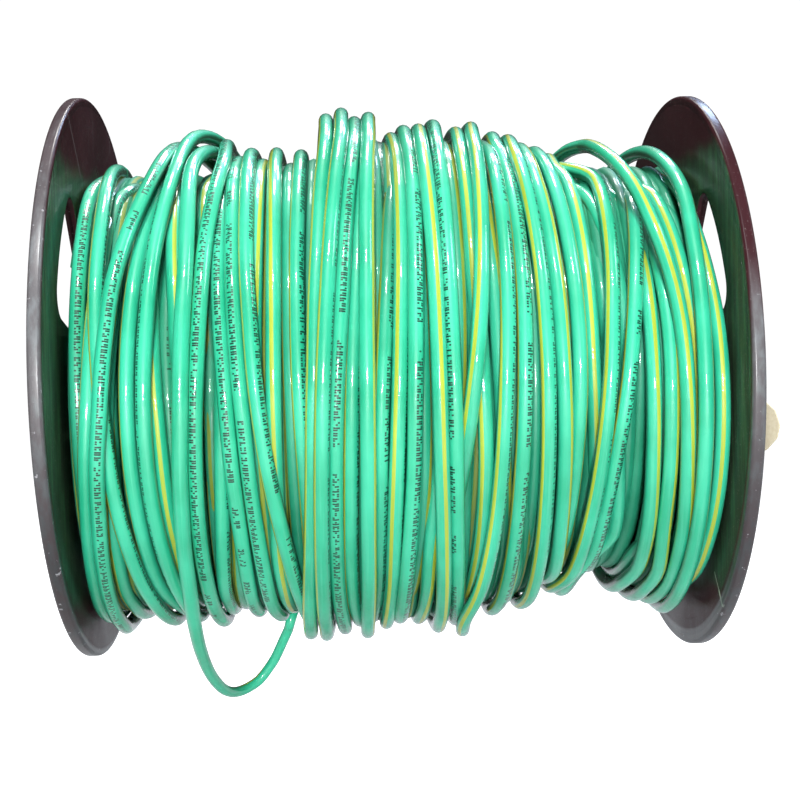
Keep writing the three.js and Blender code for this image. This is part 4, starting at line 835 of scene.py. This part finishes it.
# ------------------------------------------------------------------ slack turn and hanging bight
sw = W[slack]
k_end = [k for k in range(NS + 1) if A[k] >= -42.0]
lead = PATH[slack, k_end]
PIVOT_A = pt(-56.25, 78.0, -47.2)
PIVOT_B = np.array([-30.4, 4.6, -80.9])
LOOP_END = np.array([-33.0, 6.6, -80.4])
loop_pts = [PIVOT_A, [-56.5, -42.0, -68.0], [-56.3, -29, -79], [-54.9, -15, -89.3], [-52.2, -4.0, -96.2], [-49.3, 4.2, -98.9],
            [-46.2, 8.3, -98.7], [-42.8, 10.2, -96.9], [-40.2, 10.6, -93.9], [-38.0, 10.2, -90.8], [-36.3, 9.3, -87.5], [-34.7, 8.1, -84.0], LOOP_END, [-32.5, 6.0, -78.6]]
whole = np.concatenate([lead[:-1], np.array(loop_pts)])
curve = space_curve(whole, 2.2)
rad = curve - np.array([0, 0, 0])
rad[:, 0] = 0
rad /= np.linalg.norm(rad, axis=1)[:, None]
tb = Tubes(SIDES + 2)
hang = np.linalg.norm(np.diff(curve, axis=0), axis=1)
hang = np.concatenate([[0], np.cumsum(hang)])
start = hang[int(np.argmin(np.linalg.norm(curve - PIVOT_A, axis=1)))]
thin = np.interp((hang - start) / (hang[-1] - start), [0.05, 0.35, 0.62, 1.0], [1.0, 0.87, 0.77, 0.73])
tb.add(curve, rad, WIRE_R, 180.0, None, u0=500.0, taper=thin)
me_ob = tb.build("slack_wire", None, MAT_WIRE)
# past the pivot the wire tucks up between its neighbours and goes on round the pack
ks = [k for k in range(NS + 1) if A[k] <= -104.0][:4]
tuck = space_curve(np.concatenate([np.array([LOOP_END, [-32.2, 5.9, -77.5], [-31.5, 7.2, -75.4], [-30.8, 11.5, -73.9]]), PATH[slack, ks]]), 1.6)
tk = Tubes(SIDES + 2)
tk.add(tuck, np.tile([[0.9, -0.4, 0.0]], (len(tuck), 1)), WIRE_R, 180.0, None, u0=700.0, taper=np.linspace(0.73, 1.0, len(tuck)))
tk.build("tucked_turn_start", "spool", MAT_WIRE)
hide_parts("slack_turn", "slack_loop")
# span joins the two places where it leaves the pack and hang_dir is the hanging direction square to it; neither is used
# further
span = (LOOP_END - PIVOT_A) / np.linalg.norm(LOOP_END - PIVOT_A)
hang_dir = np.array([-49.3, 4.2, -98.9]) - PIVOT_A
hang_dir = hang_dir - (hang_dir @ span) * span
hang_dir = hang_dir / np.linalg.norm(hang_dir)
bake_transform(me_ob)

# ------------------------------------------------------------------ packed inner layers: one helix each
SEG = 54


def inner_layer(name, radius_of, hand, shift, stripe0):
    pitch = 4.33
    x0, x1 = -84.3, 84.3
    turns = (x1 - x0) / pitch
    m = int(turns * SEG)
    t = np.arange(m + 1) / m
    x = x0 + (x1 - x0) * t
    deg = shift + hand * turns * 360 * t
    x = x + 0.22 * np.sin(np.radians(deg * 2.0 + shift)) + 0.12 * np.sin(np.radians(deg * 0.73))
    r = radius_of(x, deg)
    path = np.stack([x, -r * np.cos(np.radians(deg)), r * np.sin(np.radians(deg))], 1)
    tb = Tubes(8)
    tb.add(path, radial_of(path), WIRE_R - 0.02, stripe0 + 60 * np.sin(t * 23) + 150 * t, None)
    ob = tb.build(name, "spool", MAT_DEEP)
    return ob


def deep(x, deg):
    low = np.min([skin(x + d, deg) for d in (-2.5, 0, 2.5)], axis=0)
    under = np.clip((-np.sin(np.radians(deg)) - 0.3) / 0.5, 0, 1)
    return np.maximum(low - WIRE_R - 5.3 + 1.5 * under, 56.9)


for k in range(9):
    if k < 6:
        fn = lambda x, deg, k=k: np.full(len(x), 31.75 + 0.15 + k * 3.85 + 1.95)
    else:
        f = (k - 5) / 3.0
        fn = lambda x, deg, f=f: 53.1 + (deep(x, deg) - 53.1) * f
    ob = inner_layer(f"packed_turns_{k + 1:02d}", fn, 1 if k % 2 == 0 else -1, 170 + 97 * k, 40 * k)
    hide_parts(f"winding_layer_{k + 1:02d}")

# ------------------------------------------------------------------ reel flanges
def kidney(r0, r1, a0, a1, c, n=10):
    d1 = math.degrees(math.asin(c / (r1 - c)))
    d0 = math.degrees(math.asin(c / (r0 + c)))
    out = []

    def fl(r, a):
        return np.array([-r * math.cos(math.radians(a)), r * math.sin(math.radians(a))])

    def arc(cr, cd, a, b):
        ctr = fl(cr, cd)
        for i in range(n + 1):
            t = math.radians(a + (b - a) * i / n)
            out.append(ctr + c * np.array([math.cos(t), math.sin(t)]))
    arc(r1 - c, a0 + d1, 180 - a0 + 90, 180 - (a0 + d1))
    for i in range(1, 16):
        out.append(fl(r1, a0 + d1 + (a1 - a0 - 2 * d1) * i / 16))
    arc(r1 - c, a1 - d1, 180 - (a1 - d1), 180 - a1 - 90)
    arc(r0 + c, a1 - d0, 180 - a1 - 90, -(a1 - d0))
    for i in range(1, 7):
        out.append(fl(r0, a1 - d0 - (a1 - a0 - 2 * d0) * i / 7))
    arc(r0 + c, a0 + d0, 360 - (a0 + d0), 180 - a0 + 90)
    return out


def circle(r, n, cx=0.0, cy=0.0):
    return [np.array([cx + r * math.cos(2 * math.pi * i / n), cy + r * math.sin(2 * math.pi * i / n)]) for i in range(n)]


def plate(outlines, h0, h1, bevel):
    """Flat sheet from closed outlines (first outer, others holes), edges eased; local Z is the thickness."""
    cu = bpy.data.curves.new("plate", "CURVE")
    cu.dimensions = "2D"
    cu.fill_mode = "BOTH"
    for pts in outlines:
        sp = cu.splines.new("POLY")
        sp.points.add(len(pts) - 1)
        for q, p in zip(sp.points, pts):
            q.co = (p[0], p[1], 0, 1)
        sp.use_cyclic_u = True
    cu.extrude = (h1 - h0) / 2 - bevel
    cu.bevel_depth = bevel
    cu.bevel_resolution = 2
    cu.offset = -bevel
    ob = bpy.data.objects.new("plate", cu)
    bpy.context.scene.collection.objects.link(ob)
    bpy.context.view_layer.update()
    me = bpy.data.meshes.new_from_object(ob.evaluated_get(bpy.context.evaluated_depsgraph_get()))
    bpy.data.objects.remove(ob)
    co = np.array([v.co for v in me.vertices])
    co[:, 2] += (h0 + h1) / 2
    f = [list(p.vertices) for p in me.polygons]
    bpy.data.meshes.remove(me)
    return co, f


def lathe(profile, n):
    """Closed profile of (radius, height) turned round local Z."""
    m = len(profile)
    v, f = [], []
    for i in range(n):
        a = 2 * math.pi * i / n
        for r, h in profile:
            v.append((r * math.cos(a), r * math.sin(a), h))
    for i in range(n):
        for j in range(m):
            a, b = i * m + j, i * m + (j + 1) % m
            c, d = ((i + 1) % n) * m + (j + 1) % m, ((i + 1) % n) * m + j
            f.append([a, d, c, b])
    return np.array(v), f


def rounded(profile, e, n=3):
    """Rounds each corner of a closed profile by e."""
    out = []
    m = len(profile)
    for i in range(m):
        p0, p, p1 = (np.array(profile[(i + k) % m], float) for k in (-1, 0, 1))
        ee = min(e, 0.45 * np.linalg.norm(p0 - p), 0.45 * np.linalg.norm(p1 - p))
        a = p + (p0 - p) / np.linalg.norm(p0 - p) * ee
        b = p + (p1 - p) / np.linalg.norm(p1 - p) * ee
        for k in range(n + 1):
            t = k / n
            out.append(tuple((1 - t) ** 2 * a + 2 * t * (1 - t) * p + t * t * b))
    return out


def flange(name, side, node, sag):
    n = 220
    parts = []
    holes = [kidney(36.0, 64.8, 15.5 + 120 * k, 53.5 + 120 * k, 6.5) for k in range(3)]

    def sagged(pts):
        """The moulding is a little out of round: its rim sits slightly low about the hub."""
        q = np.array([tuple(c) for c in pts], float)
        t = np.clip((np.hypot(q[:, 0], q[:, 1]) - 31.0) / 38.0, 0, 1)
        q[:, 1] += sag * t * t * (3 - 2 * t)
        return q

    def flat_plate(outlines, h0, h1, bevel):
        return plate([sagged(c) for c in outlines], h0, h1, bevel)

    def turned(profile):
        v, f = lathe(rounded(profile[0], profile[1]), profile[2])
        v[:, :2] = sagged(v[:, :2])
        return v, f

    def fl(r, a):
        return (-r * math.cos(math.radians(a)), r * math.sin(math.radians(a)))
    ties = [circle(3.3, 28, *fl(34.15, 200)), circle(3.3, 28, *fl(75.0, 200))]
    parts.append(flat_plate([circle(80.4, n), circle(15.5, 64)] + holes + ties, 0, 2.4, 0.3))
    parts.append(turned(([(78.6, 0.02), (81.9, 0.0), (82.55, 0.65), (82.55, 3.0), (82.05, 3.5), (78.85, 3.5), (78.45, 2.3)], 0.35, n)))
    parts.append(turned(([(14.3, -10), (17.3, -10), (17.3, 0.3), (20.0, 0.6), (20.0, 3.5), (14.3, 3.5)], 0.4, 96)))
    parts.append(turned(([(26.5, -7), (28.7, -7), (28.7, 1), (26.5, 1)], 0.3, 96)))
    for k in range(3):
        lip = kidney(34.4, 66.4, 13.9 + 120 * k, 55.1 + 120 * k, 7.7)
        parts.append(flat_plate([lip, holes[k]], 1.0, 3.0, 0.3))
    for deg in (7.5, -59, 61.5, 94.5, 127.5, 181.5, 214.5, 247.5):
        a = math.radians(deg)
        u = np.array([-math.cos(a), math.sin(a)])
        nn = np.array([-u[1], u[0]])
        near = [u * (19.4 + 59.8 * k / 12) + nn * 0.75 for k in range(13)]
        far = [u * (79.2 - 59.8 * k / 12) - nn * 0.75 for k in range(13)]
        parts.append(flat_plate([near + far], 1.8, 3.2, 0.25))
    vs, fs, c = [], [], 0
    for v, f in parts:
        # local (x, y, z) -> world (side * (HALF + z), x, y)
        vs.append(np.stack([side * (HALF + v[:, 2]), v[:, 0], v[:, 1]], 1))
        fs.extend([[q + c for q in g] for g in f])
        c += len(v)
    me = bpy.data.meshes.new(name)
    me.from_pydata((np.concatenate(vs) * MM).tolist(), [], fs)
    bm = bmesh.new()
    bm.from_mesh(me)
    bmesh.ops.remove_doubles(bm, verts=bm.verts, dist=1e-6)
    bmesh.ops.recalc_face_normals(bm, faces=bm.faces)
    bm.to_mesh(me)
    bm.free()
    me.polygons.foreach_set("use_smooth", np.ones(len(me.polygons), bool))
    me.set_sharp_from_angle(angle=math.radians(38))
    ob = new_object(name, me, "spool", MAT_REEL)
    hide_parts(node)
    return ob


flange("left_reel_flange", -1, "left_flange", -1.1)
flange("right_reel_flange", 1, "right_flange", -3.5)


def simple(name, parts, body, material, node, smooth=True):
    vs, fs, c = [], [], 0
    for v, f in parts:
        vs.append(np.asarray(v))
        fs.extend([[q + c for q in g] for g in f])
        c += len(v)
    me = bpy.data.meshes.new(name)
    me.from_pydata((np.concatenate(vs) * MM).tolist(), [], fs)
    bm = bmesh.new()
    bm.from_mesh(me)
    bmesh.ops.recalc_face_normals(bm, faces=bm.faces)
    bm.to_mesh(me)
    bm.free()
    if smooth:
        me.polygons.foreach_set("use_smooth", np.ones(len(me.polygons), bool))
        me.set_sharp_from_angle(angle=math.radians(38))
    ob = new_object(name, me, body, material)
    if node:
        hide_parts(*([node] if isinstance(node, str) else node))
    return ob


v, f = lathe(rounded([(29.0, -86.45), (31.75, -86.45), (31.75, 86.45), (29.0, 86.45)], 0.3), 128)
simple("core_tube", [(np.stack([v[:, 2], v[:, 0], v[:, 1]], 1), f)], "spool", MAT_CORE, "core_barrel")

# ------------------------------------------------------------------ outer end of the wire, through the left flange
first = int(by_top[0])
tie = (-75.0 * math.cos(math.radians(200)), 75.0 * math.sin(math.radians(200)))
start = PATH[first, :4]
r80 = RHO[first, 0]
lead_pts = [(-94.3, tie[0], tie[1]), (-91.6, tie[0], tie[1]), (-89, tie[0], tie[1]), (-86.6, tie[0], tie[1]), pt(-84.3, 75, 197.6), pt(-82.6, 74.9, 192.5), pt(-81.6, 74.3, 184),
            pt(-80.9, 73.2, 172), pt(-80.6, 71.5, 158), pt(-80.6, 69.0, 138), pt(-80.8, 0.5 * (66.5 + r80), 118), pt(0.5 * (X[first, 0] - 80.8), r80 + 0.8, 100), PATH[first, 0], PATH[first, 2]]
lead_curve = space_curve(lead_pts, 1.6)
tb = Tubes(SIDES + 2)
tb.add(lead_curve, radial_of(lead_curve), WIRE_R, 170, None, u0=900)
ob = tb.build("outer_end_lead", None, MAT_WIRE)
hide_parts("tail_lead")
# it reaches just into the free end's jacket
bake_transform(ob)

TAIL_X = -94.0


def rod_x(y, z, x0, x1, r, n, ring_n, bulge=0.0):
    p = np.stack([np.linspace(x0, x1, ring_n), np.full(ring_n, y), np.full(ring_n, z)], 1)
    return p


def open_sleeve(x0, x1, ro, ri, sides=48):
    """A tube along X about the tail's axis, with eased rims."""
    v, f = lathe(rounded([(ri, 0), (ro, 0), (ro, abs(x1 - x0)), (ri, abs(x1 - x0))], min(0.06, (ro - ri) * 0.3)), sides)
    return np.stack([x0 - v[:, 2], tie[0] + v[:, 0], tie[1] + v[:, 1]], 1), f


simple("tail_jacket_sleeve", [open_sleeve(TAIL_X, TAIL_X - 16, WIRE_R, 1.985)], "wire_tail", MAT_PVC, "tail_jacket")
simple("tail_insulation_sleeve", [open_sleeve(TAIL_X, TAIL_X - 18, 1.955, 1.535)], "wire_tail", MAT_PVC, "tail_insulation")
tb = Tubes(12)
nodes_s = []
num = 0
for count, rr in ((1, 0.0), (6, 0.6), (12, 1.18)):
    for i in range(count):
        num += 1
        t = np.linspace(0, 1, 30)
        a = i / count * 2 * math.pi + (math.radians(190) * t if rr else 0 * t)
        spread = 1.0
        p = np.stack([TAIL_X - 27 * t, tie[0] + rr * spread * np.sin(a), tie[1] + rr * spread * np.cos(a)], 1)
        rd = np.tile([[0.0, 0.6, 0.8]], (30, 1))
        tb.add(p, rd, 0.285, 0, None)
        nodes_s.append(f"tail_strand_{num:02d}")
ob = tb.build("tail_strands", "wire_tail", MAT_COPPER)
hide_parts(*nodes_s)

# ------------------------------------------------------------------ inner end of the wire, outside the right flange
sy, sz = -34.15 * math.cos(math.radians(200)), 34.15 * math.sin(math.radians(200))
sp = [(HALF - 3.5, sy, sz), (HALF + 0.2, sy, sz), (HALF + 4.4, sy, sz), (HALF + 7.4, sy + 0.6, sz - 1.6), (HALF + 8.6, sy + 2.4, sz - 6.2), (HALF + 8.6, sy + 4.6, sz - 12)]
sc = space_curve(sp, 0.9)
tb = Tubes(SIDES + 2)
tb.add(sc, np.tile([[1.0, 0.2, 0.0]], (len(sc), 1)), WIRE_R, 120, None)
ob = tb.build("inner_end_wire", "spool", MAT_PVC)
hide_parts("start_end_jacket")
dv = np.array(sp[-1]) - np.array(sp[-2])
dv /= np.linalg.norm(dv)
tip = np.array(sp[-1]) - 0.5 * dv
tb = Tubes(10)
e1 = np.cross(dv, [1.0, 0, 0])
e1 /= np.linalg.norm(e1)
e2 = np.cross(dv, e1)
for count, rr in ((1, 0.0), (6, 0.6), (12, 1.18)):
    for i in range(count):
        t = np.linspace(0, 1, 12)
        a = i / count * 2 * math.pi + 0.8 * t
        p = tip + np.outer(t * 6.9, dv) + rr * (np.outer(np.cos(a), e1) + np.outer(np.sin(a), e2))
        tb.add(p, np.tile([e1 + 0.3 * e2], (12, 1)), 0.285, 0, None)
ob = tb.build("inner_end_strands", "spool", MAT_COPPER)
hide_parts("start_end_conductor")

# ------------------------------------------------------------------ paper label on the right flange, with a lifted flap
def rounded_rect(y0, y1, z0, z1, c, n=8):
    out = []
    for cy, cz, a0 in ((y1 - c, z1 - c, 0), (y0 + c, z1 - c, 90), (y0 + c, z0 + c, 180), (y1 - c, z0 + c, 270)):
        for i in range(n + 1):
            t = math.radians(a0 + 90 * i / n)
            out.append(np.array([cy + c * math.cos(t), cz + c * math.sin(t)]))
    return out


LX = HALF + 2.4 + 0.3
v, f = plate([rounded_rect(-60, -27, -40, 0.5, 3)], LX, LX + 0.4, 0.08)
simple("paper_label", [(np.stack([v[:, 2], v[:, 0], v[:, 1]], 1), f)], "spool", MAT_PAPER, "reel_label")

outline = [(0.3, -25.5), (6, -25.3), (11.5, -23.6), (14.9, -20.6), (15.8, -17.4), (14.4, -13.6), (10.2, -10.6), (5, -9.3), (0.3, -9.2)]
half_n = 22


def flap_z(d, top):
    seq = outline[4:] if top else outline[:5]
    seq = sorted(seq)
    return float(np.interp(d, [q[0] for q in seq], [q[1] for q in seq]))


nd, nz = 26, 14
grid = np.zeros((nd + 1, nz + 1, 3))
for i in range(nd + 1):
    d = 0.3 + 15.45 * (1 - (1 - i / nd) ** 1.6)
    z0, z1 = flap_z(d, False), flap_z(d, True)
    for j in range(nz + 1):
        z = z0 + (z1 - z0) * j / nz
        a = math.radians(12 + 10.5 * d / 15.8)
        curl = 0.05 * math.sin((z + 17) * 0.3) * d / 10
        grid[i, j] = (LX + 0.2 + d * math.sin(a) + curl, -60.25 - d * math.cos(a), z)
verts, faces = [], []
th = 0.17
nrm = np.cross(np.gradient(grid, axis=0), np.gradient(grid, axis=1))
nrm /= np.maximum(np.linalg.norm(nrm, axis=2)[:, :, None], 1e-9)
both = np.concatenate([(grid + th * nrm).reshape(-1, 3), (grid - th * nrm).reshape(-1, 3)])
m = (nd + 1) * (nz + 1)
ix = lambda i, j, k=0: k * m + i * (nz + 1) + j
for i in range(nd):
    for j in range(nz):
        faces.append([ix(i, j), ix(i + 1, j), ix(i + 1, j + 1), ix(i, j + 1)])
        faces.append([ix(i, j, 1), ix(i, j + 1, 1), ix(i + 1, j + 1, 1), ix(i + 1, j, 1)])
for i in range(nd):
    for j in (0, nz):
        faces.append([ix(i, j), ix(i, j, 1), ix(i + 1, j, 1), ix(i + 1, j)])
for j in range(nz):
    for i in (0, nd):
        faces.append([ix(i, j), ix(i, j + 1), ix(i, j + 1, 1), ix(i, j, 1)])
simple("curled_label_flap", [(both, faces)], "label_flap", MAT_PAPER_B, "label_flap")

# ------------------------------------------------------------------ floor, light and camera
def area(name, loc, target, size, power, size_y=None, color=(1, 1, 1)):
    li = bpy.data.lights.new(name, "AREA")
    li.energy = power
    li.size = size
    li.color = color
    if size_y:
        li.shape = "RECTANGLE"
        li.size_y = size_y
    ob = bpy.data.objects.new(name, li)
    bpy.context.scene.collection.objects.link(ob)
    ob.location = loc
    ob.rotation_euler = (Vector(target) - Vector(loc)).to_track_quat("-Z", "Y").to_euler()
    return ob


fl = bpy.data.meshes.new("floor")
s = 6.0
zf = -0.150
fl.from_pydata([(-s, -s, zf), (s, -s, zf), (s, s, zf), (-s, s, zf)], [], [[0, 1, 2, 3]])
floor = bpy.data.objects.new("floor", fl)
bpy.context.scene.collection.objects.link(floor)
T = Tree("pale_floor")
T.set(Base_Color=rgb(196, 196, 196), Roughness=0.9)
T.bsdf.inputs["Emission Color"].default_value = (1, 1, 1, 1)
cam_ray = T.n("ShaderNodeLightPath").outputs[0]
T.put(T.bsdf.inputs["Emission Strength"], T.math("MULTIPLY", cam_ray, 1.0))
fl.materials.append(T.mat)

world = bpy.data.worlds.new("studio") if not bpy.context.scene.world else bpy.context.scene.world
bpy.context.scene.world = world
world.use_nodes = True
wt = world.node_tree
wt.nodes.clear()
bg = wt.nodes.new("ShaderNodeBackground")
wo = wt.nodes.new("ShaderNodeOutputWorld")
lp = wt.nodes.new("ShaderNodeLightPath")
mx = wt.nodes.new("ShaderNodeMath")
mx.operation = "MULTIPLY_ADD"
wt.links.new(lp.outputs["Is Camera Ray"], mx.inputs[0])
mx.inputs[1].default_value = 0.95
mx.inputs[2].default_value = 0.10
dim = wt.nodes.new("ShaderNodeMath")
dim.operation = "MULTIPLY_ADD"
wt.links.new(lp.outputs["Is Glossy Ray"], dim.inputs[0])
dim.inputs[1].default_value = -0.055
wt.links.new(mx.outputs[0], dim.inputs[2])
wt.links.new(dim.outputs[0], bg.inputs[1])
bg.inputs[0].default_value = (1, 1, 1, 1)
wt.links.new(bg.outputs[0], wo.inputs[0])

area("key", (-0.10, -0.86, 1.00), (0, -0.03, 0), 0.11, 12.5)
area("front", (-0.05, -1.25, 0.02), (0, 0, -0.01), 0.10, 11.0)
area("overhead", (0.02, 0.26, 1.02), (0, 0, 0), 0.22, 5.0)
area("overhead_back", (0.05, 0.62, 0.88), (0, 0, 0), 0.20, 3.0)
area("window", (0.37, 0.65, 0.87), (0, 0, 0), 0.16, 4.0, color=(0.55, 0.72, 1.0))
area("side", (0.75, -0.25, 0.62), (0.05, 0, 0), 0.30, 2.5, color=(0.86, 0.92, 1.0))

cam = bpy.data.cameras.new("view")
cam.lens = 60.15
cam.sensor_width = 36.0
cam.clip_end = 20
co = bpy.data.objects.new("view", cam)
bpy.context.scene.collection.objects.link(co)
right = Vector((0.99874, -0.04331, -0.02553))
upv = Vector((0.02657, 0.02379, 0.99936))
back = Vector((-0.04268, -0.99878, 0.02491))
from mathutils import Matrix
rot = Matrix((right, upv, back)).transposed().to_4x4()
co.matrix_world = Matrix.Translation(Vector(CAM * MM)) @ rot
bpy.context.scene.camera = co
bpy.context.scene.view_settings.view_transform = "Standard"

bpy.context.view_layer.update()
